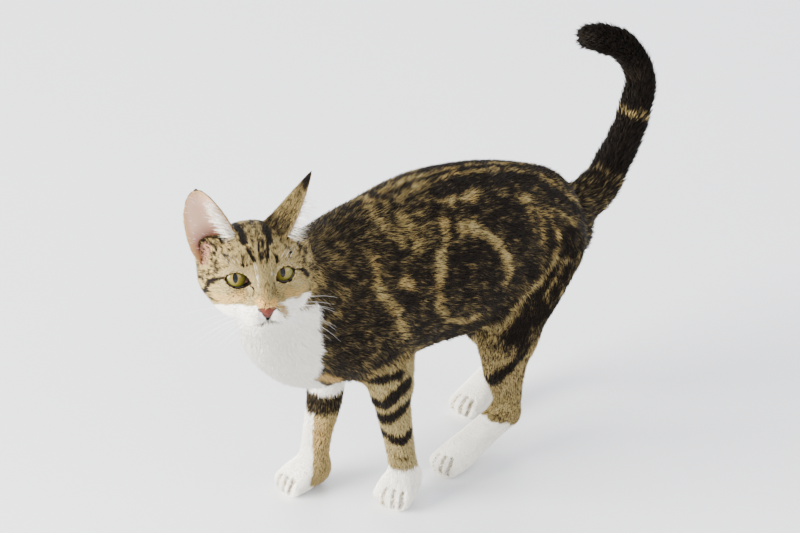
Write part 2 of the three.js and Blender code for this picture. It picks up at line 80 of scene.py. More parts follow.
# %% [markdown]
# The head has its own axes: left, forward and up. Everything on the face is placed in them.
# The row's origin is under the middle of the whole cat, so the eyes, whose place is known exactly,
# say how far the two frames stand apart.

# %% The head's axes and the shift to the row frame
HEAD = np.array([13.6, -88.1, 230.1])
YAW, PITCH = np.radians(64.6), np.radians(10)
EYE = dict(side=16, front=17.6, up=4, radius=10.4, half=8.2, open=5.3, slant=14, back=4)

HEAD_FORWARD = np.array([np.sin(YAW) * np.cos(PITCH), -np.cos(YAW) * np.cos(PITCH), np.sin(PITCH)])
HEAD_LEFT = unit(np.cross(UP, HEAD_FORWARD))
HEAD_UP = np.cross(HEAD_FORWARD, HEAD_LEFT)
HEAD_AXES = np.stack([HEAD_LEFT, HEAD_FORWARD, HEAD_UP])


def on_head(local):
    return HEAD + np.asarray(local, float) @ HEAD_AXES


def to_head(points):
    return (points - HEAD) @ HEAD_AXES.T


def eye_middle(side):
    """The middle of an eyeball in the head's axes: side is -1 on the right, 1 on the left."""
    return np.array([side * EYE["side"], EYE["front"], EYE["up"]])


def row_shift():
    shifts = []
    for side, node in ((-1, "eye_right"), (1, "eye_left")):
        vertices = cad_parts[node].data.vertices
        local = np.array([v.co for v in vertices]) / MM @ HEAD_AXES.T
        low, high = local.min(0), local.max(0)
        found = np.array([(low[0] + high[0]) / 2, low[1] + EYE["back"], (low[2] + high[2]) / 2])
        shifts.append(on_head(eye_middle(side)) - found @ HEAD_AXES)
    return np.mean(shifts, 0)


SHIFT = row_shift()
SHIFT[2] = 0


def to_row(points):
    return (np.asarray(points) - SHIFT) * MM


tell(f"the row's origin is at {SHIFT.round(2)} in the cat's frame")

# %% [markdown]
# The camera looks down on the cat's left side from its front, through a long lens.
# The floor and the light are a plain studio's: a wide soft window, two weak lamps that keep the
# far sides from going black, and a bright sky.

# %% Camera, floor and light
CAMERA = dict(at=(1204.05, -959.11, 1082.0), look=(-0.6634, 0.5567, -0.5), lens=114.3, sensor=36)
LIT_POINT = Vector((0, 0, 0.15))        # the middle of the cat's body, in metres
LIGHTS = [      # name, place and size in metres, watts, colour
    ("window", (-0.8, -2.3, 0.8), 1.7, 330, (1.0, 0.98, 0.94)),
    ("fill", (2.2, 1.0, 1.2), 1.8, 44, (0.97, 0.98, 1.0)),
    ("rim", (-1.6, 1.6, 1.9), 1.4, 34, (1.0, 1.0, 1.0))]
SKY = dict(Color=(0.93, 0.95, 1.0, 1), Strength=1.9)


def add_camera():
    data = bpy.data.cameras.new("camera")
    data.lens, data.sensor_width = CAMERA["lens"], CAMERA["sensor"]
    data.clip_start, data.clip_end = 0.05, 50
    camera = bpy.data.objects.new("camera", data)
    camera.location = to_row(CAMERA["at"])
    camera.rotation_euler = Vector(CAMERA["look"]).to_track_quat("-Z", "Y").to_euler()
    bpy.context.scene.collection.objects.link(camera)
    bpy.context.scene.camera = camera


def add_light(name, at, size, watts, colour):
    data = bpy.data.lights.new(name, "AREA")
    data.shape, data.size, data.energy, data.color = "DISK", size, watts, colour
    light = bpy.data.objects.new(name, data)
    light.location = at
    light.rotation_euler = (LIT_POINT - Vector(at)).to_track_quat("-Z", "Y").to_euler()
    bpy.context.scene.collection.objects.link(light)


add_camera()
for light in LIGHTS:
    add_light(*light)
world = bpy.data.worlds.new("sky")
world.use_nodes = True
for socket, value in SKY.items():
    world.node_tree.nodes["Background"].inputs[socket].default_value = value
bpy.context.scene.world = world

# %% [markdown]
# A material is shader maths, and so is the scatter of the coat further on. A small class wraps a
# socket, so that a mask can be written as `1 - edge * 0.5` and adds its Math nodes by itself.

# %% Node maths in plain Python
class Value:
    """One socket of a node tree, with arithmetic."""

    def __init__(self, tree, socket):
        self.tree, self.socket = tree, socket

    def maths(self, operation, *others, clamp=False):
        values = (self, *others)
        return self.tree.node("ShaderNodeMath", values, operation=operation, use_clamp=clamp)

    def __add__(self, other): return self.maths("ADD", other)
    def __mul__(self, other): return self.maths("MULTIPLY", other)
    def __sub__(self, other): return self.maths("SUBTRACT", other)
    def __truediv__(self, other): return self.maths("DIVIDE", other)
    def __pow__(self, other): return self.maths("POWER", other)
    def __rsub__(self, other): return self * -1 + other

    def vectors(self, operation, other):
        return self.tree.node("ShaderNodeVectorMath", (self, other), operation=operation)

    def step(self, low, high):
        """0 below low and 1 above high, smooth between."""
        return self.tree.node("ShaderNodeMapRange", (self, low, high),
                              interpolation_type="SMOOTHSTEP")

    def most(self, other): return self.maths("MAXIMUM", other)
    def clamped(self): return self.maths("ADD", 0.0, clamp=True)


class Tree:
    """A node tree: node() adds any node, and links or sets what it is given."""

    def __init__(self, tree):
        self.nodes, self.links = tree.nodes, tree.links

    def put(self, socket, value):
        if isinstance(value, Value):
            self.links.new(value.socket, socket)
        elif socket.type == "RGBA":
            socket.default_value = (*value[:3], 1)
        else:
            socket.default_value = value

    def node(self, kind, values=(), out=0, **settings):
        """Values go to the node's open sockets, by their place in the row or by name."""
        node = self.nodes.new(kind)
        for name, value in settings.items():
            setattr(node, name, value)
        shown = [s for s in node.inputs if s.enabled]
        named = {s.name: s for s in reversed(shown)}
        for key, value in values.items() if isinstance(values, dict) else enumerate(values):
            self.put(named[key] if isinstance(key, str) else shown[key], value)
        made = [s for s in node.outputs if s.enabled]
        return Value(self, node.outputs[out] if isinstance(out, str) else made[out])


class Material(Tree):
    """A material's tree, with what the looks here are mixed from."""

    def __init__(self, name, roughness, **constants):
        self.made = bpy.data.materials.new(name)
        self.made.use_nodes = True
        super().__init__(self.made.node_tree)
        self.surface = self.nodes["Principled BSDF"]
        self.set("Roughness", roughness)
        for socket, value in constants.items():
            self.set(socket.replace("_", " "), value)

    def set(self, socket, value):
        self.put(self.surface.inputs[socket], value)

    def attribute(self, name):
        return self.node("ShaderNodeAttribute", out="Fac", attribute_name=name)

    def place(self):
        return self.node("ShaderNodeTexCoord", out="Object")

    def grain(self, size, detail=2.0):
        """Noise from 0 to 1 whose lumps are about size metres across."""
        values = {"Vector": self.place(), "Scale": 1 / size, "Detail": detail}
        return self.node("ShaderNodeTexNoise", values)

    def blend(self, share, a, b):
        return self.node("ShaderNodeMix", (share, a, b), data_type="RGBA")

    def bump(self, height, depth, strength=1.0):
        values = {"Height": height, "Distance": depth, "Strength": strength}
        self.set("Normal", self.node("ShaderNodeBump", values))


def rgb(code):
    """A colour written as on a paint card (sRGB) in the linear values that a shader takes."""
    parts = [int(code[i:i + 2], 16) / 255 for i in (0, 2, 4)]
    return tuple(p / 12.92 if p <= 0.04045 else ((p + 0.055) / 1.055) ** 2.4 for p in parts)


def mottled(name, roughness, size, one, other, detail=2.0, **constants):
    """A material of one colour that drifts into another over lumps of a size in metres."""
    look = Material(name, roughness, **constants)
    look.set("Base Color", look.blend(look.grain(size, detail), rgb(one), rgb(other)))
    return look


def add_floor(across=14):
    floor = mottled("pale_floor", 0.55, 0.9, "dedfe1", "e8e9eb", 3)
    floor.bump(floor.grain(0.004, 3), 0.0002, 0.2)
    bpy.ops.mesh.primitive_plane_add(size=across)
    plane = bpy.context.object
    plane.name = "floor"
    plane.data.materials.append(floor.made)
    plane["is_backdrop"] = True


add_floor()
tell("camera, light and floor")

# %% [markdown]
# The flesh is the same rule as the solids': sleeves swept along a bent axis, and eggs on the head,
# blended one after another. Here each is thinner by the depth of the coat that will lie on it,
# and a sleeve's axis also says which way its hair lies, so that the coat follows the body.

# %% Sleeves and eggs
COAT = dict(trunk=3.6, neck=4.0, leg=2.3, foot=1.1, face=1.4, tail=4.8)


def smooth_min(a, b, blend):
    if blend == 0:
        return np.minimum(a, b)
    h = np.clip(0.5 + 0.5 * (b - a) / blend, 0, 1)
    return b + (a - b) * h - blend * h * (1 - h)


def spline(rows, steps=4):
    """Rows of numbers as a smooth curve through them, with steps rows in each span."""
    rows = np.array(rows, float)
    p = np.vstack([2 * rows[0] - rows[1], rows, 2 * rows[-1] - rows[-2]])
    dense = []
    for i in range(len(rows) - 1):
        a, b, c, d = p[i:i + 4]
        for t in np.arange(steps) / steps:
            dense.append(0.5 * (2 * b + (c - a) * t + (2 * a - 5 * b + 4 * c - d) * t**2
                                + (3 * b - 3 * c + d - a) * t**3))
    return np.array([*dense, rows[-1]])


def ellipsoid(local, radii):
    """Distance to an ellipsoid, close enough near its surface."""
    k0 = np.linalg.norm(local / radii, axis=1)
    k1 = np.linalg.norm(local / radii**2, axis=1)
    return np.where(k0 > 1e-6, k0 * (k0 - 1) / np.maximum(k1, 1e-9), -np.min(radii))


class Sleeve:
    def __init__(self, rows, up=UP, ends=(1, 1), coat=0.0):
        three_radii = [(*r[:3], *(r[3:] if len(r) > 4 else [r[3]] * 3)) for r in rows]
        rows = spline(three_radii)
        self.axis, self.radii, self.ends = rows[:, :3], rows[:, 3:] - coat, ends
        ahead, behind = self.axis[[*range(1, len(rows)), -1]], self.axis[[0, *range(len(rows) - 1)]]
        self.along = unit(ahead - behind)
        self.side = unit(np.cross(self.along, up))
        self.top = np.cross(self.side, self.along)
        steps = np.linalg.norm(np.diff(self.axis, axis=0), axis=1)
        self.length = np.concatenate([[0], np.cumsum(steps)])
        reach = self.radii.max() + coat
        self.low, self.high = self.axis.min(0) - reach, self.axis.max(0) + reach

    def nearest(self, points):
        """The span and the share of it where the axis comes closest to each point."""
        best = np.full(len(points), np.inf)
        at, part = np.zeros(len(points), int), np.zeros(len(points))
        for i in range(len(self.axis) - 1):
            a, d = self.axis[i], self.axis[i + 1] - self.axis[i]
            t = np.clip((points - a) @ d / (d @ d), 0, 1)
            off = ((points - a - t[:, None] * d)**2).sum(1)
            closer = off < best
            best[closer], at[closer], part[closer] = off[closer], i, t[closer]
        return at, part

    def local(self, points):
        """Each point as side, top and along from the axis, with what mixes a list at its place."""
        at, part = self.nearest(points)

        def mix(rows):
            t = part if rows.ndim == 1 else part[:, None]
            return rows[at] * (1 - t) + rows[at + 1] * t

        off = points - mix(self.axis)
        frames = (mix(self.side), mix(self.top), mix(self.along))
        return np.stack([(off * f).sum(1) for f in frames], 1), mix

    def distance(self, points):
        local, mix = self.local(points)
        radii = mix(self.radii)
        tall = np.where(local[:, 1] > 0, radii[:, 1], radii[:, 2])
        end = np.where(local[:, 2] > 0, self.ends[1], self.ends[0])
        round_end = end * np.minimum(radii[:, 0], radii[:, 1:].mean(1))
        return ellipsoid(local, np.stack([radii[:, 0], tall, round_end], 1))

    def lie(self, points):
        at, _ = self.nearest(points)
        return self.along[at]


class Egg:
    def __init__(self, centre, radii, coat=0.0):
        self.centre, self.radii = on_head(centre), np.array(radii, float) - coat
        self.low, self.high = self.centre - max(radii), self.centre + max(radii)

    def distance(self, points):
        return ellipsoid((points - self.centre) @ HEAD_AXES.T, self.radii)


# %% [markdown]
# The tables below are the cat: rows of x, y, z, side radius, upper radius and lower radius.
# The first words of each sleeve are its region, the kind of coat on it, how far it blends into
# what is there, and which way its hair lies: 1 with the rows, -1 against them. On the head, the
# hair lies away from the nose.

# %% The tables of the body
def head_rows(rows):
    return [(*on_head(r[:3]), *r[3:]) for r in rows]


def flesh_tables():
    """(region, shape, blend, lie) of every sleeve and egg, thinned by its coat."""
    shapes = []

    def sleeve(region, coat, blend, lie, rows, up=UP, ends=(1, 1)):
        shapes.append((region, Sleeve(rows, up, ends, COAT[coat]), blend, lie))

    def egg(centre, radii, blend, both=False):
        for side in (-1, 1) if both else (1,):
            middle = (side * centre[0], *centre[1:])
            shapes.append(("head", Egg(middle, radii, COAT["face"]), blend, 0))

    sleeve("trunk", "trunk", 0, 1, [
        (12, -58, 158, 26, 34, 30), (9, -38, 164, 38, 57, 48), (5, -5, 168, 45, 69, 62),
        (2, 30, 170, 48, 71, 64), (0, 70, 172, 52, 70.5, 66), (0, 110, 168, 54, 67.5, 66),
        (0, 148, 161, 51, 63, 56), (0, 176, 156, 45, 56, 43), (0, 197, 150, 37, 45, 29.5),
        (0, 213, 148, 27, 31, 23)], ends=(0.8, 0.6))
    sleeve("neck", "neck", 14, -1, [
        (4, 5, 190, 34, 42, 40), (9, -28, 196, 34, 40, 42), (13, -56, 209, 32, 35, 42),
        (15, -76, 223, 30, 29, 36)])
    sleeve("neck", "neck", 12, -1, [
        (10, -35, 150, 32, 36, 34), (16, -66, 172, 30, 30, 30), (20, -80, 196, 25, 25, 26)])
    sleeve("tail", "tail", 10, 1, [
        (0, 205, 156, 22), (0, 246, 171, 17), (-3, 263, 184, 15.5), (-8, 284, 203, 14.5),
        (-13, 298, 223, 14), (-16, 303.5, 235.5, 13.5), (-19, 301, 251, 13),
        (-21, 289, 268, 13), (-23, 272, 279, 13), (-24, 258, 284.5, 11.5)], up=(1, 0, 0))
    for rows in ([(22, 2, 176, 16, 27, 26), (27, 4, 150, 17, 26, 25), (30, 12, 124, 16.5, 21, 20),
                  (31, 17, 104, 15, 17, 17)],
                 [(-20, 5, 175, 16, 26, 26), (-24, 5, 150, 17, 25, 25), (-27, 9, 125, 16.5, 21, 19),
                  (-28, 9, 104, 15, 17, 15)]):
        sleeve("fore", "leg", 16, 1, rows, FORWARD)
    for rows in ([(31, 17, 118, 15.5, 17, 16), (31.5, 17, 95, 14.5, 15.5, 15),
                  (32, 21, 70, 13, 13.5, 12.5), (32, 25, 45, 12, 11.5, 11.5),
                  (32.5, 28, 24, 12.5, 12, 12)],
                 [(-28, 10, 118, 16, 17, 15), (-27.5, 5, 95, 16.5, 16, 14.5),
                  (-27, 2, 70, 15.5, 14, 13), (-25.5, -6, 45, 12.5, 12, 11.5),
                  (-25.5, -11, 19, 12.5, 12, 12)]):
        sleeve("fore", "leg", 8, 1, rows, FORWARD)
    for rows in ([(31, 29, 17, 13, 12.5, 14), (32, 23, 13, 15.5, 12.5, 13),
                  (34.5, 15, 9, 16, 9.5, 10.5)],
                 [(-26, -10, 15, 12.5, 12.5, 14), (-27.5, -22, 12, 14.5, 12.5, 12.5),
                  (-28.5, -31, 9.5, 14.5, 9.5, 11)]):
        sleeve("fore", "foot", 7, 1, rows)
    for rows in ([(26, 170, 158, 24, 32, 30), (32, 150, 136, 23, 36, 28),
                  (33, 136, 114, 19, 30, 26), (31, 131, 97, 17, 27, 25)],
                 [(-26, 176, 158, 23, 32, 26), (-31, 166, 136, 22, 34, 24),
                  (-32, 156, 114, 18, 29, 23), (-31, 151, 97, 17, 26, 22)]):
        sleeve("hind", "leg", 14, 1, rows, FORWARD)
    for rows in ([(30, 131, 100, 17, 27, 25), (30, 129, 76, 14.5, 22, 20),
                  (29, 131, 58, 12.5, 15.5, 15), (28, 133, 43, 11.5, 12.5, 12.5),
                  (27, 133, 32, 11, 12, 11.5)],
                 [(-31, 151, 100, 17, 26, 23), (-30, 157, 78, 14.5, 20, 16.5),
                  (-29.5, 168, 58, 12.5, 15.5, 12.5), (-29.5, 176, 42, 11.5, 12.5, 12),
                  (-29.5, 180, 31, 11, 12, 11.5)]):
        sleeve("hind", "leg", 10, 1, rows, FORWARD)
    for rows in ([(27, 132, 29, 11, 11.5, 11.5), (27, 118, 24.5, 11.5, 12, 12),
                  (27, 101, 18, 12.5, 12, 12), (27.5, 85, 13, 14.5, 11, 13),
                  (27.5, 72, 9.5, 14.5, 9, 11)],
                 [(-29.5, 181, 26, 11, 11.5, 11.5), (-28.5, 171, 21.5, 11.5, 12, 12),
                  (-27, 159, 16.5, 12.5, 12, 12.5), (-25, 147, 12, 14.5, 10, 12),
                  (-23.5, 136, 9.5, 14.5, 8.5, 11)]):
        sleeve("hind", "foot", 7, 1, rows)
    egg((0, -4, 5), (31, 37, 26.5), 10)
    egg((19.5, 3, 1), (19.5, 24, 21), 9, both=True)
    egg((28, 0, 15), (11, 13, 12), 6, both=True)
    egg((14, 14, -13), (16, 18, 13.5), 8, both=True)
    egg((8, 35.5, -17.5), (10.5, 11, 9), 4, both=True)
    egg((13, 17, 13), (12, 11, 8), 7, both=True)
    bridge = head_rows([(0, 14, 10, 13, 10, 12), (0, 27, 3, 10, 8.5, 12), (0, 36, -4.5, 8, 7, 11),
                        (0, 43, -11, 6.5, 5.5, 8)])
    shapes.append(("head", Sleeve(bridge, HEAD_UP, (1, 0.7), COAT["face"]), 6, 0))
    egg((0, 10, -17), (20, 26, 14), 8)
    egg((0, 32.5, -24), (9.5, 10, 8), 5)
    return shapes


FLESH = flesh_tables()
REACH = 30      # a shape changes nothing beyond this far from its box


def flesh(points):
    """Signed distance to the bare body."""
    f = np.full(len(points), 1e3)
    for _, shape, blend, _ in FLESH:
        near = ((points > shape.low - REACH) & (points < shape.high + REACH)).all(1)
        if near.any():
            f[near] = smooth_min(f[near], shape.distance(points[near]), blend)
    return f


tell(f"{len(FLESH)} sleeves and eggs")

# %% [markdown]
# The skin adds what is too fine for the solids: the lids that close over each eyeball, the
# opening between them, the split under the nose, the mouth, the hollow of an ear and the toes.

# %% Lids, mouth and toes
LID = dict(radius=11.3, blend=4.0, edge=0.8)
NARROW = {-1: 1.0, 1: 0.86}        # the left eye's opening is a little shorter
LENS_RADIUS = (EYE["half"]**2 + EYE["open"]**2) / (2 * EYE["open"])
MOUTH = [[(0, 48.5, -18), (0, 47.5, -23)],
         [(0, 47.5, -23), (6, 45, -25.5), (12, 39, -25), (17, 31, -22)],
         [(0, 47.5, -23), (-6, 45, -25.5), (-12, 39, -25), (-17, 31, -22)]]
GROOVE = dict(radius=1.7, toe_radius=1.9, blend=1.2)
CONCH = np.array([-36.0, 8, 21]), np.array([7.0, 9, 11]), 3.0   # middle, radii, blend
TOES = dict(        # middle, half width and turn of each foot
    paw_left=((37, 14, 8), 9.5, 28), paw_right=((-27, -34, 8), 9.0, 8),
    foot_left=((27.5, 72, 8), 8.5, 14), foot_right=((-23, 138, 8), 8.5, 8))


def eye_local(points, side):
    """Points round an eye as outwards and up across its opening, and forward from its middle."""
    local = to_head(points) - eye_middle(side)
    turn = np.radians(EYE["slant"])
    out, rise = side * local[:, 0], local[:, 2]
    across = out * np.cos(turn) + rise * np.sin(turn)
    return np.stack([across, rise * np.cos(turn) - out * np.sin(turn), local[:, 1]], 1)


def opening(local, side):
    """Distance to the edge of the opening between the lids, which two arcs make."""
    drop = LENS_RADIUS - EYE["open"]
    across = local[:, 0] / NARROW[side]
    return np.maximum(np.hypot(across, local[:, 1] + drop),
                      np.hypot(across, local[:, 1] - drop)) - LENS_RADIUS


def off_eye(side, across, rise, ahead):
    """The way back from eye_local to the cat's own frame."""
    turn = np.radians(EYE["slant"])
    out = across * np.cos(turn) - rise * np.sin(turn)
    up = across * np.sin(turn) + rise * np.cos(turn)
    return on_head(np.stack([side * out, ahead, up], -1) + eye_middle(side))


def capsule(points, path):
    """Distance to a bent line."""
    path = np.array(path, float)
    best = np.full(len(points), np.inf)
    for a, b in zip(path[:-1], path[1:]):
        t = np.clip((points - a) @ (b - a) / ((b - a) @ (b - a)), 0, 1)
        best = np.minimum(best, np.linalg.norm(points - a - t[:, None] * (b - a), axis=1))
    return best


def carve(f, depth, blend):
    return -smooth_min(-f, depth, blend)


def skin(points):
    """Signed distance to the finished skin, cut level at the floor."""
    f = flesh(points)
    face = np.linalg.norm(points - on_head([0, 25, 0]), axis=1) < 45
    if face.any():
        p, g = points[face], f[face]
        for side in (-1, 1):
            local = eye_local(p, side)
            ball = np.linalg.norm(local, axis=1)
            g = smooth_min(g, ball - LID["radius"], LID["blend"])
            slot = np.maximum(opening(local, side), EYE["radius"] - 0.5 - ball)
            g = carve(g, np.maximum(slot, -local[:, 2]), LID["edge"])
        for path in MOUTH:
            g = carve(g, capsule(to_head(p), path) - GROOVE["radius"], GROOVE["blend"])
        f[face] = g
    middle, radii, blend = CONCH
    near = np.linalg.norm(points - on_head(middle), axis=1) < 28
    if near.any():
        f[near] = carve(f[near], ellipsoid(to_head(points[near]) - middle, radii), blend)
    for path in TOE_LINES:
        near = np.linalg.norm(points - path[2], axis=1) < 24
        if near.any():
            gap = capsule(points[near], path) - GROOVE["toe_radius"]
            f[near] = carve(f[near], gap, GROOVE["blend"])
    return np.maximum(f, -points[:, 2])


# %% [markdown]
# Surface nets turn the rule into quads: one point in each grid cell that the surface crosses.
# Only the blocks near the surface are sampled finely. The face is then cut finer, and every point
# slides along the slope onto the surface itself.

# %% Surface nets
CORNERS = [(i, j, k) for i in (0, 1) for j in (0, 1) for k in (0, 1)]       # of a grid cell


def sample(field, low, high, cell, block=6):
    """The field on a grid, worked out only near its surface."""
    blocks = np.ceil((np.asarray(high) - low) / (cell * block)).astype(int)
    axes = [low[k] + cell * block * np.arange(blocks[k] + 1) for k in range(3)]
    coarse = field(np.stack(np.meshgrid(*axes, indexing="ij"), -1).reshape(-1, 3))
    coarse = coarse.reshape(blocks + 1)
    corners = np.stack([coarse[i:i + blocks[0], j:j + blocks[1], k:k + blocks[2]]
                        for i, j, k in CORNERS])
    near = np.abs(corners).min(0) < cell * block * 1.5
    values = np.full(blocks * block + 1, 1e3)
    steps = np.arange(block + 1)
    for b in np.argwhere((corners.max(0) < 0) & ~near) * block:
        values[b[0]:b[0] + block + 1, b[1]:b[1] + block + 1, b[2]:b[2] + block + 1] = -1e3
    cube = np.stack(np.meshgrid(steps, steps, steps, indexing="ij"), -1).reshape(-1, 3)
    index = (np.argwhere(near)[:, None] * block + cube).reshape(-1, 3)
    flat = np.unique(np.ravel_multi_index(index.T, values.shape))
    grid = np.stack(np.unravel_index(flat, values.shape), 1)
    values.ravel()[flat] = np.concatenate(
        [field(np.asarray(low) + grid[i:i + 100000] * cell) for i in range(0, len(grid), 100000)])
    return values


def surface_net(field, low, high, cell):
    """Points and outward quads of the field's surface."""
    values = sample(field, low, high, cell)
    inside = values < 0
    cells = np.array(values.shape) - 1
    count = sum(inside[i:i + cells[0], j:j + cells[1], k:k + cells[2]].astype(np.int8)
                for i, j, k in CORNERS)
    crossed = (count > 0) & (count < 8)
    active = np.argwhere(crossed)
    number = np.full(cells, -1)
    number[crossed] = np.arange(len(active))
    total, hits = np.zeros((len(active), 3)), np.zeros(len(active))
    for corner in CORNERS:
        for axis in range(3):
            if corner[axis]:
                continue
            end = np.array(corner)
            end[axis] = 1
            a = values[tuple((active + corner).T)]
            b = values[tuple((active + end).T)]
            cut = (a < 0) != (b < 0)
            spot = np.tile(np.array(corner, float), (cut.sum(), 1))
            spot[:, axis] = a[cut] / (a[cut] - b[cut])
            total[cut] += spot
            hits[cut] += 1
    points = np.asarray(low) + (active + total / hits[:, None]) * cell
    quads = []
    for axis in range(3):
        first = [slice(0, -1) if k == axis else slice(1, -1) for k in range(3)]
        second = [slice(1, None) if k == axis else slice(1, -1) for k in range(3)]
        a, b = inside[tuple(first)], inside[tuple(second)]
        edges = np.argwhere(a != b)
        leaving = a[tuple(edges.T)]
        base = edges + [0 if k == axis else 1 for k in range(3)]
        u, v = [(1, 2), (2, 0), (0, 1)][axis]
        ring = []
        for du, dv in ((1, 1), (0, 1), (0, 0), (1, 0)):
            spot = base.copy()
            spot[:, u] -= du
            spot[:, v] -= dv
            ring.append(number[tuple(spot.T)])
        ring = np.stack(ring, 1)
        ring[~leaving] = ring[~leaving][:, ::-1]
        quads.append(ring)
    return points, np.vstack(quads)


def slope(field, points, h=0.3):
    base = field(points)
    steps = [field(points + h * np.eye(3)[k]) - base for k in range(3)]
    return base, np.stack(steps, 1) / h


def settle(field, points, rounds=2):
    """Slide points onto the surface, and return them with the outward normals there."""
    for _ in range(rounds):
        f, g = slope(field, points)
        steep = np.maximum((g**2).sum(1), 0.2)
        points = points - np.clip(f / steep, -1.5, 1.5)[:, None] * g
    return points, unit(slope(field, points)[1])


def laid_on(path):
    """A bent line in six steps, each laid onto the flesh."""
    path = np.array(path, float)
    spread = np.linspace(0, len(path) - 1, 6)
    line = np.stack([np.interp(spread, range(len(path)), path[:, k]) for k in range(3)], 1)
    return settle(flesh, line, 14)[0]


def toe_lines():
    """Three lines over the front of each foot, between its four toes."""
    for middle, half, turn in TOES.values():
        ahead = np.array([np.sin(np.radians(turn)), -np.cos(np.radians(turn)), 0])
        aside = np.array([-ahead[1], ahead[0], 0])
        for k in (-0.7, 0.2, 1.0):
            yield laid_on([middle + aside * k * half * wide + ahead * far + UP * high
                           for wide, far, high in ((0.85, 1, 10), (1.05, 8, 4), (1.15, 13, -5))])


MOUTH = [to_head(laid_on(on_head(path))) for path in MOUTH]
TOE_LINES = list(toe_lines())


def plain_mesh(name, points, faces):
    """A mesh with smooth shading from lists of points in metres and of faces."""
    mesh = bpy.data.meshes.new(name)
    mesh.from_pydata(points, [], faces)
    mesh.polygons.foreach_set("use_smooth", [True] * len(mesh.polygons))
    mesh.update()
    return mesh


def make_mesh(name, points, faces):
    """A mesh from points in the cat's millimetres and an array or list of faces."""
    faces = faces.tolist() if isinstance(faces, np.ndarray) else faces
    return plain_mesh(name, to_row(points).tolist(), faces)


def closed_mesh(name, points, faces):
    """A mesh whose faces are all turned outwards."""
    mesh = make_mesh(name, points, faces)
    shape = bmesh.new()
    shape.from_mesh(mesh)
    bmesh.ops.recalc_face_normals(shape, faces=shape.faces)
    shape.to_mesh(mesh)
    shape.free()
    return mesh


def read(items, key, kind=np.float32, width=1):
    """A number, or a row of as many as width, from each item of a mesh's list."""
    flat = np.empty(len(items) * width, kind)
    items.foreach_get(key, flat)
    return flat if width == 1 else flat.reshape(-1, width)


def triangles_in(mesh):
    return sum(len(p.vertices) - 2 for p in mesh.polygons)


def add_object(name, mesh, look=None):
    if look:
        mesh.materials.append(look.made)
    piece = bpy.data.objects.new(name, mesh)
    bpy.context.scene.collection.objects.link(piece)
    return piece


# %% The skin in one mesh
SKIN = dict(cell=1.7, low=(-66, -132, -4), high=(66, 322, 306))


def build_skin():
    points, quads = surface_net(skin, SKIN["low"], SKIN["high"], SKIN["cell"])
    tell(f"surface net of {len(quads)} quads")
    mesh = make_mesh("skin", points, quads)
    shape = bmesh.new()
    shape.from_mesh(mesh)
    shape.verts.ensure_lookup_table()
    wide, front, high = to_head(points).T
    fine = (front > 12) & (np.abs(wide) < 34) & (high > -34) & (high < 24)      # the face
    edges = [e for e in shape.edges if fine[e.verts[0].index] and fine[e.verts[1].index]]
    bmesh.ops.subdivide_edges(shape, edges=edges, cuts=1, use_grid_fill=True)
    bmesh.ops.triangulate(shape, faces=[f for f in shape.faces if len(f.verts) > 4])
    shape.to_mesh(mesh)
    shape.free()
    loose = read(mesh.vertices, "co", width=3).astype(float) / MM + SHIFT
    settled, normals = settle(skin, loose)
    settled[settled[:, 2] < 0.05, 2] = 0        # the soles stand on the floor
    mesh.vertices.foreach_set("co", to_row(settled).ravel())
    mesh.update()
    tell(f"skin of {triangles_in(mesh)} triangles")
    return mesh, settled, normals


SKIN_MESH, SKIN_AT, SKIN_OUT = build_skin()

# %% [markdown]
# The hair's lie is mixed from the sleeves that a point is close to: along the trunk to the tail,
# down the legs, and on the head away from the nose. The same shares say which region a point
# belongs to, how long its hair is, and how wide a tuft may be.

# %% Lie, length and width of the hair over the skin
HAIR = dict(     # length and width of a tuft, in millimetres
    trunk=(6.0, 0.72), neck=(6.8, 0.72), leg=(4.6, 0.58), foot=(2.0, 0.45), face=(3.2, 0.4),
    tail=(9.0, 0.8))
REGIONS = ["trunk", "neck", "tail", "fore", "hind", "head"]
NOSE_END = (0, 50, -9)


def coat_kind(region, index):
    if region in ("fore", "hind"):
        feet = [k for k, entry in enumerate(FLESH) if entry[0] == region][-2:]
        return "foot" if index in feet else "leg"
    return {"head": "face"}.get(region, region)


def smooth(x, low, high):
    t = np.clip((x - low) / (high - low), 0, 1)
    return t * t * (3 - 2 * t)


def lumps(points, size, seed):
    """Smooth random values from -1 to 1 that change over about size millimetres."""
    table = np.random.default_rng(seed).random((32, 32, 32))
    spot = np.asarray(points) / size + 100
    cell = np.floor(spot).astype(int)
    f = spot - cell
    f = f * f * (3 - 2 * f)
    total = 0
    for corner in CORNERS:
        share = np.prod([f[:, n] if c else 1 - f[:, n] for n, c in enumerate(corner)], 0)
        total = total + share * table[tuple(((cell + corner) % 32).T)]
    return 2 * total - 1


def three_lumps(points, size, seed):
    """Three such values for each point, to push it about."""
    return np.stack([lumps(points, size, seed + k) for k in range(3)], 1)


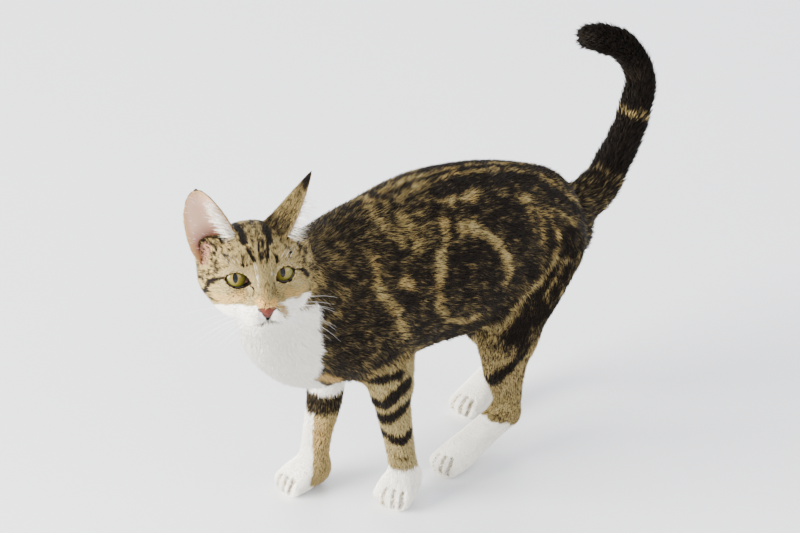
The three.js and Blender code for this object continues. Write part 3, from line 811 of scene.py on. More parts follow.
def hair_over(points, normals):
    """For each point of the skin: its region's number, lie, length and width of hair."""
    distance = np.stack([shape.distance(points) for _, shape, _, _ in FLESH])
    share = np.exp(-(distance - distance.min(0)) / 5)
    share /= share.sum(0)
    lie, size = np.zeros_like(points), np.zeros((len(points), 2))
    belongs = np.zeros((len(REGIONS), len(points)))
    from_nose = unit(points - on_head(NOSE_END))
    for k, (region, shape, _, way) in enumerate(FLESH):
        flow = way * shape.lie(points) if way else from_nose
        fall = {"trunk": -0.3, "neck": -0.45, "head": -0.12}.get(region, 0)
        lie += share[k][:, None] * (flow + fall * UP)
        size += share[k][:, None] * HAIR[coat_kind(region, k)]
        belongs[REGIONS.index(region)] += share[k]
    lie = lie + 0.34 * (three_lumps(points, 9, 40) + 0.6 * three_lumps(points, 4, 50))
    for side in (-1, 1):
        local = eye_local(points, side)
        away = unit(points - on_head(eye_middle(side) + [0, 8, 0]))
        near = np.exp(-np.maximum(opening(local, side), 0) / 4) * (local[:, 2] > 0)
        lie += 1.2 * near[:, None] * away
    lie -= (lie * normals).sum(1)[:, None] * normals
    return belongs, unit(lie), size[:, 0], size[:, 1]


BELONGS, LIE, LONG, WIDE = hair_over(SKIN_AT, SKIN_OUT)
tell("lie of the hair")

# %% [markdown]
# A blotched tabby: the flank is dark with a few light lines and a ring, the legs are light with
# dark bars, and the feet, muzzle and bib are white. Each marking is a stroke with a width. On the
# trunk a stroke runs in (along the back, degrees round the body), on the head in the head's axes.

# %% Strokes of the markings
FLANK_LIGHT = [     # path, half width, strength
    ([(30, 84), (54, 85), (77, 87), (103, 87), (140, 85), (168, 82), (180, 76)], 2.6, 0.55),
    ([(176, 72), (186, 60), (199, 46), (214, 30)], 5.0, 0.6),
    ([(71, 72), (77, 70)], 3.6, 0.95),
    ([(89, 69), (104, 71)], 2.8, 0.8),
    ([(119, 66), (127, 66)], 3.0, 0.7),
    ([(142, 59), (151, 54)], 3.4, 0.85),
    ([(141, 48), (158, 42), (172, 36), (188, 21)], 5.0, 0.6),
    ([(17, 88), (16, 78), (17, 69), (24, 59)], 2.8, 0.8),
    ([(33, 72), (32, 63)], 5.0, 0.55),
    ([(24, 66), (36, 60), (38, 52)], 4.0, 0.5),
    ([(-3, 56), (-2, 48), (-7, 39), (1, 27), (11, 5), (17, -18)], 3.8, 0.85),
    ([(18, 35), (25, 26)], 3.8, 0.75),
    ([(64, 61), (58, 47), (50, 36), (47, 17), (47, 0), (57, -21), (75, -33), (86, -30)], 3.8, 0.85),
    ([(74, 53), (87, 49), (99, 39), (108, 23), (111, 9), (109, -2)], 4.0, 0.95),
    ([(78, 24), (80, 4)], 2.4, 0.3),
    ([(100, -58), (112, -47), (123, -28), (138, -15), (151, -7), (159, 2), (165, 14), (164, 31)],
     2.7, 0.85),
    ([(150, 38), (148, 17), (142, -2)], 2.0, 0.5),
    ([(167, -9), (149, -23), (138, -34)], 2.8, 0.75)]
FLANK_DARK = [
    ([(43, 92), (135, 92), (172, 92), (215, 92)], 3.0, 0.9),
    ([(70, 79), (100, 78), (133, 76), (161, 75), (176, 60), (192, 40), (204, 24)], 5.0, 0.9),
    ([(177, 16), (168, 4)], 7.5, 1.0),
    ([(154, -10), (134, -26)], 1.6, 0.8),
    ([(64, 20), (90, 14), (96, 26), (74, 38)], 6.0, 0.5),
    ([(140, -34), (130, -43), (117, -55)], 5.4, 1.0)]
LEG_DARK = [        # in the cat's own frame, on the left legs; the right ones mirror them
    ([(36, -22, 136), (45, -7, 136), (49, 8, 141)], 4.4, 0.95),
    ([(31, -6, 120), (43, -3, 119), (47, 12, 122)], 4.6, 1.0),
    ([(31, -2, 94), (39, 2, 95), (46, 8, 104), (48, 20, 111)], 5.2, 1.0),
    ([(31, 2, 79), (37, 5, 81), (45, 13, 86), (46, 24, 92)], 4.8, 1.0),
    ([(31, 5, 66), (37, 9, 63), (42, 16, 59), (44, 27, 66)], 4.0, 1.0),
    ([(37, 14, 45), (42, 22, 43)], 2.4, 0.5),
    ([(50, 131, 99), (47, 124, 84), (40, 114, 74), (31, 111, 67)], 5.6, 1.0),
    ([(44, 141, 76), (40, 132, 62)], 3.4, 0.6),
    ([(37, 143, 60), (36, 143, 42)], 4.0, 0.6)]
LEG_LIGHT = [([(43, 114, 84), (50, 121, 104), (52, 132, 113)], 3.4, 0.7)]
FRINGE = [([(40, -53, 140), (39, -46, 136), (37, -36, 129)], 4.2, 0.85)]     # ochre, under the bib
FACE_DARK = [       # in the head's axes
    ([(-8, 5, 30), (-8, 17, 26)], 2.5, 1.0),
    ([(10, 7, 29), (9, 18, 25)], 2.6, 1.0),
    ([(-7, 22, 24), (-6, 26, 21), (-4, 30, 17)], 1.3, 1.0),
    ([(-2, 4, 31), (-3, 17, 27), (-3, 21, 24)], 0.9, 0.9),
    ([(3, 6, 30.5), (1, 20, 25), (0, 29, 18)], 0.9, 0.95),
    ([(6, 6, 30), (4, 20, 25), (1, 29, 17)], 0.9, 0.95),
    ([(7, 19, 25), (6, 26, 21), (4, 30, 15)], 1.0, 0.95),
    ([(11, 28, 18), (11, 31, 12)], 1.2, 1.0),
    ([(-11, 26, 20), (-12, 30, 14)], 1.0, 0.85),
    ([(-8, 2, 30.5), (-9, -20, 27), (-8, -38, 14)], 2.6, 0.85),
    ([(10, 4, 30), (9, -20, 27), (8, -38, 14)], 3.0, 0.85),
    ([(1, -4, 31), (0, -30, 22)], 2.2, 0.75),
    ([(-16, 18, 24), (-18, 8, 27), (-19, -8, 24)], 1.1, 0.6),
    ([(17, 18, 24), (19, 8, 27), (19, -8, 24)], 1.1, 0.6),
    ([(-36, 10, -12), (-31, 21, -11), (-23, 27.5, -10.5)], 1.2, 0.9),
    ([(36, 8, -12), (31, 20, -11), (25, 27, -10)], 1.2, 0.8),
    ([(-28, 22, 14), (-31, 12, 16), (-33, 2, 12)], 1.6, 0.4),
    ([(28, 22, 14), (31, 12, 16), (33, 2, 12)], 1.6, 0.4),
    ([(-15, 34, 14), (-19, 32, 14), (-23, 29, 13)], 0.8, 0.4)]
LID_LINES = [       # from the corners of the eyes, over the white too
    ([(-23, 27, 8), (-28, 24, 6), (-32, 21, 4)], 1.1, 1.0),
    ([(-32, 21, 4), (-35, 18, 0.5), (-36, 13, -6), (-36, 4, -9)], 1.9, 1.0),
    ([(21, 29, 8), (26, 26, 6), (30, 24, 4)], 1.1, 1.0),
    ([(30, 24, 4), (33, 21, -1), (35, 12, -7), (35, 2, -10)], 1.8, 1.0),
    ([(-9, 33.5, 2), (-8, 36, -1), (-9, 34, -6)], 0.9, 0.85),
    ([(8, 35, 2), (8, 36, -2), (7, 39, -5)], 0.9, 0.85)]
FACE_PALE = [       # the strength is a share of white
    ([(-4, 31, 14), (-4, 35, 7), (-5.5, 39, 0)], 1.8, 0.42),
    ([(7.5, 31, 13), (6, 35, 6), (5, 38, 2)], 1.4, 0.36),
    ([(-31, 23, -3), (-22, 29, -4.5), (-14, 31, -3)], 2.2, 0.3),
    ([(14, 31, -5), (22, 30, -5), (29, 25, -4)], 2.0, 0.3)]
FACE_WARM = [       # ochre beside the nose and under the eyes
    ([(-5, 44, -7), (-0.5, 48, -9.5), (6, 45, -8)], 4.4, 0.95),
    ([(-0.5, 48, -9.5), (-0.5, 45, -4), (-1.5, 42, 0)], 3.4, 0.8),
    ([(10, 45, -11), (11, 44, -17), (13, 38, -22)], 3.6, 0.8),
    ([(-31, 21, -8), (-24, 27, -9), (-15, 32, -6)], 4.2, 0.8),
    ([(30, 22, -9), (24, 28, -11), (18, 32, -8)], 4.2, 0.8)]
# from, to and dark share of each stretch of the tail, in millimetres along it
# the stretch from 58 to 105 mm is its real dark ring, left a little short of fully dark: its few
# light tufts are a painted sheen on the dark hair
TAIL_RINGS = [(-5, 28, 0.55), (28, 34, 0.78), (34, 40, 0.6), (40, 52, 0.82), (52, 58, 0.62),
              (58, 105, 0.94), (105, 111, 0.44), (111, 260, 1.0)]


MIDLINE, AXIS_HEIGHT = 3, 165       # the plane between left and right, and the trunk's axis


def strokes(points, table, soft):
    """The strongest stroke of a table at each point; each edge is soft over so many millimetres."""
    return np.max([strength * (1 - smooth(capsule(points, path), half - soft / 2, half + soft / 2))
                   for path, half, strength in table], 0)


def shade_of_trunk(x, ragged):
    """The dark share of the blotched flank, from its strokes and a mottle at two sizes."""
    aside, along, high = ragged.T
    turn = np.degrees(np.arctan2(high - AXIS_HEIGHT, np.abs(aside - MIDLINE)))
    body = np.stack([along, turn], 1)
    right = x < MIDLINE
    body[right] = body[right] * [1, 0.96] + [-7, 4]      # the right flank is a drawing of its own
    light, deep = strokes(body, FLANK_LIGHT, 4.6), strokes(body, FLANK_DARK, 4.0)
    belly = 1 - smooth(body[:, 1], -74, -50)
    light = np.maximum(light * (1 - deep), 0.75 * belly)
    mottle = 0.30 * lumps(ragged, 2.8, 80) + 0.14 * lumps(ragged, 8, 81)
    fore_back = smooth(body[:, 1], 20, 60) * (1 - smooth(body[:, 0], 60, 110))
    return 0.80 - 0.08 * fore_back - 0.56 * light + 0.18 * deep + mottle


def shade_of_legs(points, ragged, trunk_dark):
    """The dark shares of the fore and the hind legs."""
    x, y, z = points.T
    rx, ry, rz = ragged.T
    left = x > MIDLINE
    off = 31.5 + np.abs(rx - np.where(left, 31.5, -28.0))
    fore = np.stack([off, ry + np.where(left, 0, 10), rz], 1)
    hind = np.stack([off, ry - np.where(left, 0, 28), rz], 1)
    bars = strokes(np.where(y[:, None] < 80, fore, hind), LEG_DARK, 2.4)
    pale = strokes(hind, LEG_LIGHT, 2.4)
    fleck = 0.16 * lumps(ragged, 2.6, 82)
    upper = smooth(z, 122, 148)
    shoulder = 0.52 + 0.42 * lumps(ragged * [1, 1.5, 0.8], 5, 83)
    fore_dark = (np.maximum(bars, 0.12) + fleck) * (1 - upper) + upper * np.maximum(bars, shoulder)
    thigh = smooth(z, 84, 112)
    shin_dark = np.maximum(bars * (1 - pale), 0.30) + 1.6 * fleck
    return fore_dark, (1 - thigh) * shin_dark + thigh * trunk_dark


def shade_of_face(local):
    """The dark share of the head: thin drawn lines over a ground of flecks."""
    drawn = strokes(local + 0.3 * three_lumps(local, 2.2, 90), FACE_DARK + LID_LINES, 0.9)
    fleck = lumps(local * [1.5, 0.8, 0.8], 2.0, 84)
    lower = smooth(-local[:, 2], -2, 7) * smooth(local[:, 1], 10, 24)
    back = smooth(-local[:, 1], -20, 10)
    crown = smooth(local[:, 2], 16, 24)
    ground = 0.14 + 0.24 * back + 0.02 * crown - 0.03 * lower + (0.72 - 0.34 * lower) * fleck
    ground = ground + 0.2 * smooth(np.abs(local[:, 0]), 13, 24) * smooth(local[:, 2], -4, 4)
    return np.maximum(drawn, ground)


def eye_ring(points, low, high):
    """1 in a band round either eye's opening, from low to high millimetres off its edge."""
    band = np.zeros(len(points))
    for side in (-1, 1):
        eye = eye_local(points, side)
        off = opening(eye, side)
        band = np.maximum(band, (eye[:, 2] > -2) * smooth(off, low - 0.4, low + 0.4)
                          * (1 - smooth(off, high - 0.8, high + 0.8)))
    return band


def white_parts(points, ragged, local, share):
    """Bib, belly, muzzle, paws and the inner side of the right front leg."""
    x, y, z = points.T
    rx, ry, rz = ragged.T
    edge = np.where(x > 8, -55 + 0.9 * np.maximum(0, 138 - z), -46 + 1.2 * np.maximum(0, 142 - z))
    top = np.where(x > 22, 1 - smooth(z, 200, 208), 1 - smooth(z, 208, 222))
    bib = (1 - smooth(ry, edge - 1.5, edge + 2.5)) * top * smooth(z, 92, 104) * smooth(x, -36, -28)
    inner = (x > -27) & (x < 26) & (y < 24)
    bib = np.maximum(bib, inner * (1 - smooth(z, 128, 146)) * smooth(z, 74, 78))
    right_fore = (share["fore"] > 0.3) * (x < 0)
    flame = right_fore * (z < 110) * (1 - smooth(ry + 0.9 * (rx + 25), -14, -8))
    paws = (1 - smooth(rz, 30, 33)) * (y < 60)
    outer_heel = right_fore * smooth(ry + 1.1 * (rx + 27), -16, -10)
    paws *= 1 - outer_heel
    left_sock = (1 - smooth(rz + 0.6 * (ry - 118), 29, 33)) * (y >= 60) * (x > MIDLINE)
    right_sock = (1 - smooth(rz, 50, 56)) * (y >= 60) * (x <= MIDLINE)
    paws = np.maximum.reduce([paws, left_sock, right_sock])
    wide, front, high = local.T
    line = -9.5 - 0.12 * np.maximum(np.abs(wide) - 8, 0) - 0.35 * np.maximum(26 - front, 0)
    face = 1 - smooth(high, line - 1.0, line + 1.0)
    near_head = smooth(share["head"], 0.25, 0.6)
    throat = (1 - smooth(local[:, 2], -21, -14)) * smooth(local[:, 1], -12, 2)
    throat *= smooth(share["head"] + share["neck"], 0.4, 0.8)
    throat *= np.where(x > 22, 1 - smooth(z, 200, 208), 1)
    throat *= 1 - smooth(ry, -68, -62) * (x > 8)
    white = np.maximum.reduce([bib * (1 - near_head), paws, near_head * face, throat, flame])
    band = (share["fore"] > 0.3) * (x < -8) * (1 - smooth(np.abs(rz - 71), 6.5, 10))
    return white * (1 - band), band, right_fore


def over_coat(points, out):
    """The surface of the coat over each point of the skin."""
    depth = sum(BELONGS[k] * COAT[kind] for k, kind in enumerate(
        ("trunk", "neck", "tail", "leg", "leg", "face")))
    return points + depth[:, None] * out


def markings(roots, out):
    """The dark, white and warm shares of the coat at each root; the drawing lies on the tips."""
    surface = over_coat(roots, out)
    points = surface + 0.5 * LONG[:, None] * LIE
    x, y, z = points.T
    ragged = points + 1.8 * three_lumps(points, 4.5, 60)
    local = to_head(points)
    share = {name: BELONGS[k] for k, name in enumerate(REGIONS)}
    trunk_dark = shade_of_trunk(x, ragged)
    fore_dark, hind_dark = shade_of_legs(points, ragged, trunk_dark)
    neck_dark = 0.70 + 0.36 * lumps(ragged, 5, 70)

    along = np.zeros(len(points))
    on_tail = share["tail"] > 0.02
    tail = next(shape for region, shape, _, _ in FLESH if region == "tail")
    _, mix = tail.local(points[on_tail])
    along[on_tail] = mix(tail.length) + 2.5 * lumps(points[on_tail], 5, 71)
    tail_dark = sum(level * smooth(along, a - 2, a + 2) * (1 - smooth(along, b - 2, b + 2))
                    for a, b, level in TAIL_RINGS)
    dark = sum(share[name] * value for name, value in (
        ("trunk", trunk_dark), ("neck", neck_dark), ("fore", fore_dark), ("hind", hind_dark),
        ("head", shade_of_face(local)), ("tail", tail_dark)))

    white, band, right_fore = white_parts(points, ragged, local, share)
    dark = np.maximum(dark * (1 - band), 0.74 * band)
    near_head = smooth(share["head"], 0.25, 0.6)
    pale = np.maximum(strokes(local, FACE_PALE, 2.2), 0.34 * eye_ring(roots, 0.9, 3.2))
    white = np.maximum(white, 0.8 * near_head * pale)
    on_muzzle = smooth(share["head"], 0.05, 0.25)
    ochre = (local[:, 1] > 15) * strokes(local + 0.2 * (ragged - points), FACE_WARM, 3.6)
    white *= 1 - 0.9 * ochre
    cream = 2 * strokes(local, FACE_PALE, 2.2)
    bright = np.maximum.reduce([ochre, eye_ring(roots, 0.9, 4.2), cream])
    dark = dark * (1 - 0.85 * on_muzzle * np.minimum(bright, 1))
    split, *corners = [capsule(to_head(surface), path) for path in MOUTH]
    mouth, lips = 1 - smooth(split, 0.6, 1.1), 1 - smooth(np.minimum(*corners), 0.3, 1.0)
    lines = on_muzzle * np.maximum.reduce([
        strokes(local, LID_LINES, 0.8), mouth, 0.6 * lips, eye_ring(roots, -3, 0.4)])
    # Along the toe lines the white paws get a little dark and lose half their white: painted shade
    # in the creases between the toes.
    toes = 1 - smooth(np.min([capsule(surface, path) for path in TOE_LINES], 0), 0.4, 1.1)
    dark = np.maximum.reduce([dark, lines, 0.15 * toes])
    white = white * (1 - np.maximum(lines, 0.5 * toes))

    legs = np.maximum(share["fore"], share["hind"]) * (1 - smooth(z, 100, 140))
    warm = 0.5 * (share["trunk"] + share["neck"]) + 0.3 * share["tail"] + 0.21 * share["head"]
    warm = warm + 0.40 * (share["fore"] + share["hind"]) - 0.04 * legs
    warm = np.maximum(warm, 0.68 * right_fore * (z < 62))
    fringe = strokes(points, FRINGE, 3)
    dark, white = dark * (1 - 0.9 * fringe), white * (1 - fringe)
    warm = np.maximum.reduce([warm + 0.12 * lumps(points, 16, 72), ochre, fringe])
    return np.clip(dark, 0, 1), np.clip(white, 0, 1), np.clip(warm, 0, 1)


DARK, WHITE, WARM = markings(SKIN_AT, SKIN_OUT)
tell(f"mean shares: dark {DARK.mean():.2f}, white {WHITE.mean():.2f}, warm {WARM.mean():.2f}")


def attach(mesh, name, values, kind="FLOAT", domain="POINT"):
    """Store one value for each point (or corner) of a mesh under a name."""
    layer = mesh.attributes.new(name, kind, domain)
    field = "value" if kind == "FLOAT" else "vector"
    layer.data.foreach_set(field, np.asarray(values, np.float32).ravel())


# %% [markdown]
# Every hair is banded: grey-brown at its root, gold above, dark at its tip, and each tuft has its
# own tone. In a dark marking nearly every tuft is black-brown, with a few gold ticks. The skin
# wears the same colours, with a fine bump, so that what shows between tufts is coat too.

# %% Colours of the coat
PAINT = {name: rgb(code) for name, code in dict(
    root="3f3424", cream="d2b679", gold="9a8450", ochre="ecb767", straw="b9aa78", tick="5f5236",
    tip="261e15", black="0d0a08", brown="1f1811", white="fffcf2", shade="f4eee1").items()}


def coat_colour(m, tip, tone):
    dark, white, warm = (m.attribute(name) for name in ("dark", "white", "warm"))
    light = m.blend((warm * 2).clamped(), PAINT["cream"], PAINT["gold"])
    light = m.blend((warm * 2 - 1).clamped(), light, PAINT["ochre"])
    agouti = (warm - warm * warm) * 2.4
    light = m.blend(agouti * (1 - dark.step(0.1, 0.4)), light, PAINT["straw"])
    light = m.blend(dark.step(0.35, 0.8), light, PAINT["tick"])
    ground = m.blend(tip.step(0.05, 0.4), PAINT["root"], m.blend(tone * 0.35, light, PAINT["root"]))
    ground = m.blend(tip.step(0.7, 0.95) * agouti, ground, PAINT["tip"])
    night = m.blend(tone.step(0.2, 0.9), PAINT["black"], PAINT["brown"])
    coat = m.blend((dark + (tone - 0.5) * 0.8).step(0.42, 0.58), ground, night)
    snow = m.blend(tone.step(0.1, 0.9), PAINT["shade"], PAINT["white"])
    return m.blend((white + (tone - 0.5) * 0.5).step(0.4, 0.6), coat, snow)


def coat_material():
    m = Material("coat", 0.55, Specular_IOR_Level=0.08)
    m.set("Base Color", coat_colour(m, m.attribute("tip"), m.attribute("tone")))
    return m


def skin_material():
    m = Material("skin_under_coat", 0.8, Specular_IOR_Level=0.04)
    pink = m.attribute("pink")
    strands = m.grain(0.0009, 3)
    tone = (m.grain(0.0016, 2) - 0.5) * 2.2 + 0.5
    coat = coat_colour(m, strands.step(0.3, 0.75) * 0.8, tone.clamped())
    # The hollow before the right ear shows bare skin: pink, and painted darker than the ear itself
    # as shade in the hollow.
    bare = m.blend(m.grain(0.006, 2), rgb("8a554a"), rgb("b98e76"))
    m.set("Base Color", m.blend(pink, coat, bare))
    m.bump(strands, 0.0006, 0.6)
    return m


def in_conch(points):
    """1 on the bare wall of the hollow that leads into the right ear, pink and painted darker there
    as shade.
    """
    middle, radii, _ = CONCH
    return 1 - smooth(ellipsoid(to_head(points) - middle, radii), 0.2, 1.6)


COAT_MATERIAL = coat_material()
for name, values in dict(dark=DARK, white=WHITE, warm=WARM, pink=in_conch(SKIN_AT)).items():
    attach(SKIN_MESH, name, values)
skin_piece = add_object("skin", SKIN_MESH, skin_material())

# %% [markdown]
# A tuft is a closed spike of four faces, thin and flat, with a ridge. Long hair takes a bent spike
# of ten. Geometry Nodes scatter points over a region of the skin, turn a tuft at each point to the
# lie of the hair with a little lift, size it, and join everything. Each tuft's spot on the bake
# map is its root's place on an unwrap of the region, so the colours of two tufts never meet there.

# %% Tufts
def tuft(name, points, faces, tips, patch):
    mesh = plain_mesh(name, points, faces)
    attach(mesh, "tip", tips)
    attach(mesh, "patch", [(u, v, 0) for u, v in patch], "FLOAT_VECTOR")
    return bpy.data.objects.new(name, mesh)


CURL = 0.16         # how far a long tuft rises before it bends down to its tip
SHORT_TUFT = tuft("short_tuft", [(-0.5, 0, 0), (0.5, 0, 0), (0, 0.1, 0.45), (0, 1, 0)],
                  [(0, 2, 1), (0, 1, 3), (1, 2, 3), (2, 0, 3)],
                  (0, 0, 0.1, 1), ((0, 0), (1, 0), (0.5, 0.35), (0.5, 1)))
LONG_TUFT = tuft("long_tuft", [(-0.5, 0, 0), (0.5, 0, 0), (0, 0, 0.5), (-0.42, 0.55, CURL),
                               (0.42, 0.55, CURL), (0, 0.55, CURL + 0.4), (0, 1, 0)],
                 [(0, 2, 1), (0, 1, 4, 3), (1, 2, 5, 4), (2, 0, 3, 5), (3, 4, 6), (4, 5, 6),
                  (5, 3, 6)], (0, 0, 0, 0.55, 0.55, 0.55, 1),
                 ((0, 0), (1, 0), (0.5, 0.2), (0, 0.55), (1, 0.55), (0.5, 0.7), (0.5, 1)))
PATCH = 0.003       # the width of one tuft's spot on the bake map


def coat_tree():
    """The scatter as a node group, with named inputs for what changes from piece to piece."""
    group = bpy.data.node_groups.new("coat_scatter", "GeometryNodeTree")
    group.interface.new_socket("Geometry", in_out="OUTPUT", socket_type="NodeSocketGeometry")
    for name, kind in (("Geometry", "Geometry"), ("Density", "Float"), ("Lift", "Float"),
                       ("Spread", "Float"), ("Seed", "Int"), ("Tuft", "Object"),
                       ("Coat", "Material")):
        group.interface.new_socket(name, in_out="INPUT", socket_type=f"NodeSocket{kind}")
    tree = Tree(group)
    given = {s.name: Value(tree, s) for s in group.nodes.new("NodeGroupInput").outputs}

    def named(name, kind="FLOAT"):
        return tree.node("GeometryNodeInputNamedAttribute", {"Name": name}, data_type=kind)

    def chance(low, high, more, kind="FLOAT"):
        values = {0: low, 1: high, "Seed": given["Seed"] + more}
        return tree.node("FunctionNodeRandomValue", values, data_type=kind)

    def store(geometry, name, value, **settings):
        values = {"Geometry": geometry, "Name": name, "Value": value}
        return tree.node("GeometryNodeStoreNamedAttribute", values, **settings)

    scatter = tree.node("GeometryNodeDistributePointsOnFaces", {
        "Mesh": given["Geometry"], "Seed": given["Seed"],
        "Density": named("thick") * given["Density"]})
    points = store(scatter, "tone", chance(0.0, 1.0, 1), data_type="FLOAT", domain="POINT")
    out = named("out", "FLOAT_VECTOR")
    wander = chance((-1.0,) * 3, (1.0,) * 3, 2, "FLOAT_VECTOR").vectors("SCALE", given["Spread"])
    rise = out.vectors("SCALE", given["Lift"] * chance(0.6, 1.35, 3))
    way = named("lie", "FLOAT_VECTOR").vectors("ADD", wander).vectors("ADD", rise)
    turn = tree.node("FunctionNodeAxesToRotation", {"Primary Axis": way, "Secondary Axis": out},
                     primary_axis="Y", secondary_axis="Z")
    width = named("wide") * chance(0.75, 1.25, 4)
    length = named("long") * chance(0.75, 1.2, 5)
    size = tree.node("ShaderNodeCombineXYZ", (width, length, width))
    shape = tree.node("GeometryNodeObjectInfo", {"Object": given["Tuft"]}, out="Geometry")
    placed = tree.node("GeometryNodeInstanceOnPoints", {
        "Points": points, "Instance": shape, "Rotation": turn, "Scale": size})
    joined = tree.node("GeometryNodeRealizeInstances", {"Geometry": placed})
    spot = named("root_uv", "FLOAT_VECTOR").vectors(
        "ADD", named("patch", "FLOAT_VECTOR").vectors("SCALE", PATCH))
    mapped = store(joined, "OFBake", spot, data_type="FLOAT2", domain="CORNER")
    painted = tree.node("GeometryNodeSetMaterial", {"Geometry": mapped, "Material": given["Coat"]})
    tree.links.new(painted.socket, group.nodes.new("NodeGroupOutput").inputs[0])
    return group


COAT_TREE = coat_tree()


def grow(name, ground, count, tuft, lift, spread, seed):
    """Scatter about count tufts over a ground mesh and return them as one plain mesh object."""
    thick = read(ground.attributes["thick"].data, "value")
    first = read(ground.polygons, "loop_start", np.int32)
    corner = read(ground.loops, "vertex_index", np.int32)
    density = count / float((read(ground.polygons, "area") * thick[corner[first]]).sum())
    carrier = add_object(f"{name}_ground", ground)
    modifier = carrier.modifiers.new("coat", "NODES")
    modifier.node_group = COAT_TREE
    values = dict(Density=density, Lift=lift, Spread=spread, Seed=seed, Tuft=tuft,
                  Coat=COAT_MATERIAL.made)
    for item in COAT_TREE.interface.items_tree:
        if item.in_out == "INPUT" and item.name in values:
            modifier[item.identifier] = values[item.name]
    evaluated = carrier.evaluated_get(bpy.context.evaluated_depsgraph_get())
    mesh = bpy.data.meshes.new_from_object(evaluated)
    carrier.modifiers.clear()
    bpy.data.objects.remove(carrier)
    mesh.name = name
    for extra in ("patch", "root_uv", "lie", "out", "long", "wide", "thick"):
        if extra in mesh.attributes:
            mesh.attributes.remove(mesh.attributes[extra])
    places = read(mesh.vertices, "co", width=3)
    places[:, 2] = np.maximum(places[:, 2], 0)      # no hair goes through the floor
    mesh.vertices.foreach_set("co", places.ravel())
    mesh.update()
    tell(f"{name}: {triangles_in(mesh)} triangles")
    return add_object(name, mesh)


# %% [markdown]
# The coat is grown in pieces: head, neck, two flanks, front legs, hind legs and tail. A piece is
# unwrapped round its own axis: how far along, and how far round. The head is laid out flat from
# its nose, as a map of the world is from a pole.

# %% Unwraps and regions
def unwrap_round(points, axis_rows, up, share=(0, 1)):
    """Each point's turn round a bent axis and its length along it."""
    axis = Sleeve([(*r, 1) for r in axis_rows], up)
    local, mix = axis.local(points)
    turn = np.arctan2(local[:, 0], local[:, 1]) / (2 * np.pi) + 0.5
    reach = mix(axis.length) + np.clip(local[:, 2], -30, 30)
    return np.stack([share[0] + (share[1] - share[0]) * turn, reach], 1)


def unwrap_head(points):
    way = unit(to_head(points))
    off = np.sqrt(np.maximum((1 - way[:, 1]) / 2, 0))
    flat = unit(way[:, [0, 2]])
    return 0.5 + 0.5 * flat * off[:, None]


AXES = dict(
    neck=([(4, 20, 185), (10, -40, 195), (18, -90, 230)], UP),
    flank=([(0, -60, 165), (0, 225, 155)], UP),
    fore_left=([(27, 10, 175), (31, 12, 110), (32, 27, 24), (34, 14, 6)], FORWARD),
    fore_right=([(-23, 8, 175), (-27, 8, 110), (-25, -14, 24), (-27, -32, 6)], FORWARD),
    hind_left=([(30, 160, 150), (30, 131, 80), (27, 131, 28), (27, 70, 6)], FORWARD),
    hind_right=([(-28, 170, 150), (-30, 152, 90), (-15, 184, 24), (-23, 136, 6)], FORWARD),
    tail=([(0, 205, 156), (-8, 284, 203), (-19, 301, 251), (-24, 258, 284)], (1, 0, 0)))


def region_unwrap(region, points):
    if region == "head":
        return unwrap_head(points)
    if region.startswith("flank"):
        return unwrap_round(points, *AXES["flank"])
    if region in ("fore", "hind"):
        left = unwrap_round(points, *AXES[f"{region}_left"], (0, 0.48))
        right = unwrap_round(points, *AXES[f"{region}_right"], (0.52, 1))
        return np.where(points[:, :1] > MIDLINE, left, right)
    return unwrap_round(points, *AXES[region])


def ground_mesh(name, points, faces, spots, lie, out, **values):
    """A mesh for tufts to grow on, which carries what they need to know at each point."""
    mesh = make_mesh(f"{name}_ground", points, faces)
    for key, value in values.items():
        attach(mesh, key, np.broadcast_to(value, len(points)))
    attach(mesh, "lie", lie, "FLOAT_VECTOR")
    attach(mesh, "out", out, "FLOAT_VECTOR")
    attach(mesh, "root_uv", PATCH + spots * 0.99, "FLOAT2", "CORNER")
    return mesh


def body_ground(region, faces):
    """A region of the skin as ground for hair."""
    used, renumbered = np.unique(faces, return_inverse=True)
    faces = renumbered.reshape(-1, faces.shape[1])
    at = SKIN_AT[used]
    uv = region_unwrap(region, at)[faces]
    if region in ("neck", "tail"):
        wraps = np.ptp(uv[:, :, 0], axis=1) > 0.3
        uv[wraps, :, 0] += uv[wraps, :, 0] < 0.5
    flat = uv.reshape(-1, 2)
    low, high = flat.min(0), flat.max(0)
    return ground_mesh(region, at, faces, (flat - low) / (high - low), LIE[used], SKIN_OUT[used],
                       dark=DARK[used], white=WHITE[used], warm=WARM[used], thick=THICK[used],
                       long=LONG[used] * MM, wide=WIDE[used] * MM)


def bare_spots(points):
    """0 where no hair grows: between the lids, on the nose, in the mouth and under the soles."""
    hair = smooth(points[:, 2], 0.3, 2.0)
    local = to_head(points)
    for side in (-1, 1):
        eye = eye_local(points, side)
        hair *= np.where(eye[:, 2] > 0, smooth(opening(eye, side), 0.5, 1.3), 1)
    nose = np.linalg.norm((local - [0, 47, -15]) / [6.6, 5, 5.4], axis=1)
    hair *= smooth(nose, 0.9, 1.1)
    for path in MOUTH:
        hair *= smooth(capsule(local, path), 0.7, 1.3)
    for path in TOE_LINES:
        hair *= smooth(capsule(points, path), 0.9, 1.6)
    return hair * (1 - 0.8 * in_conch(points))


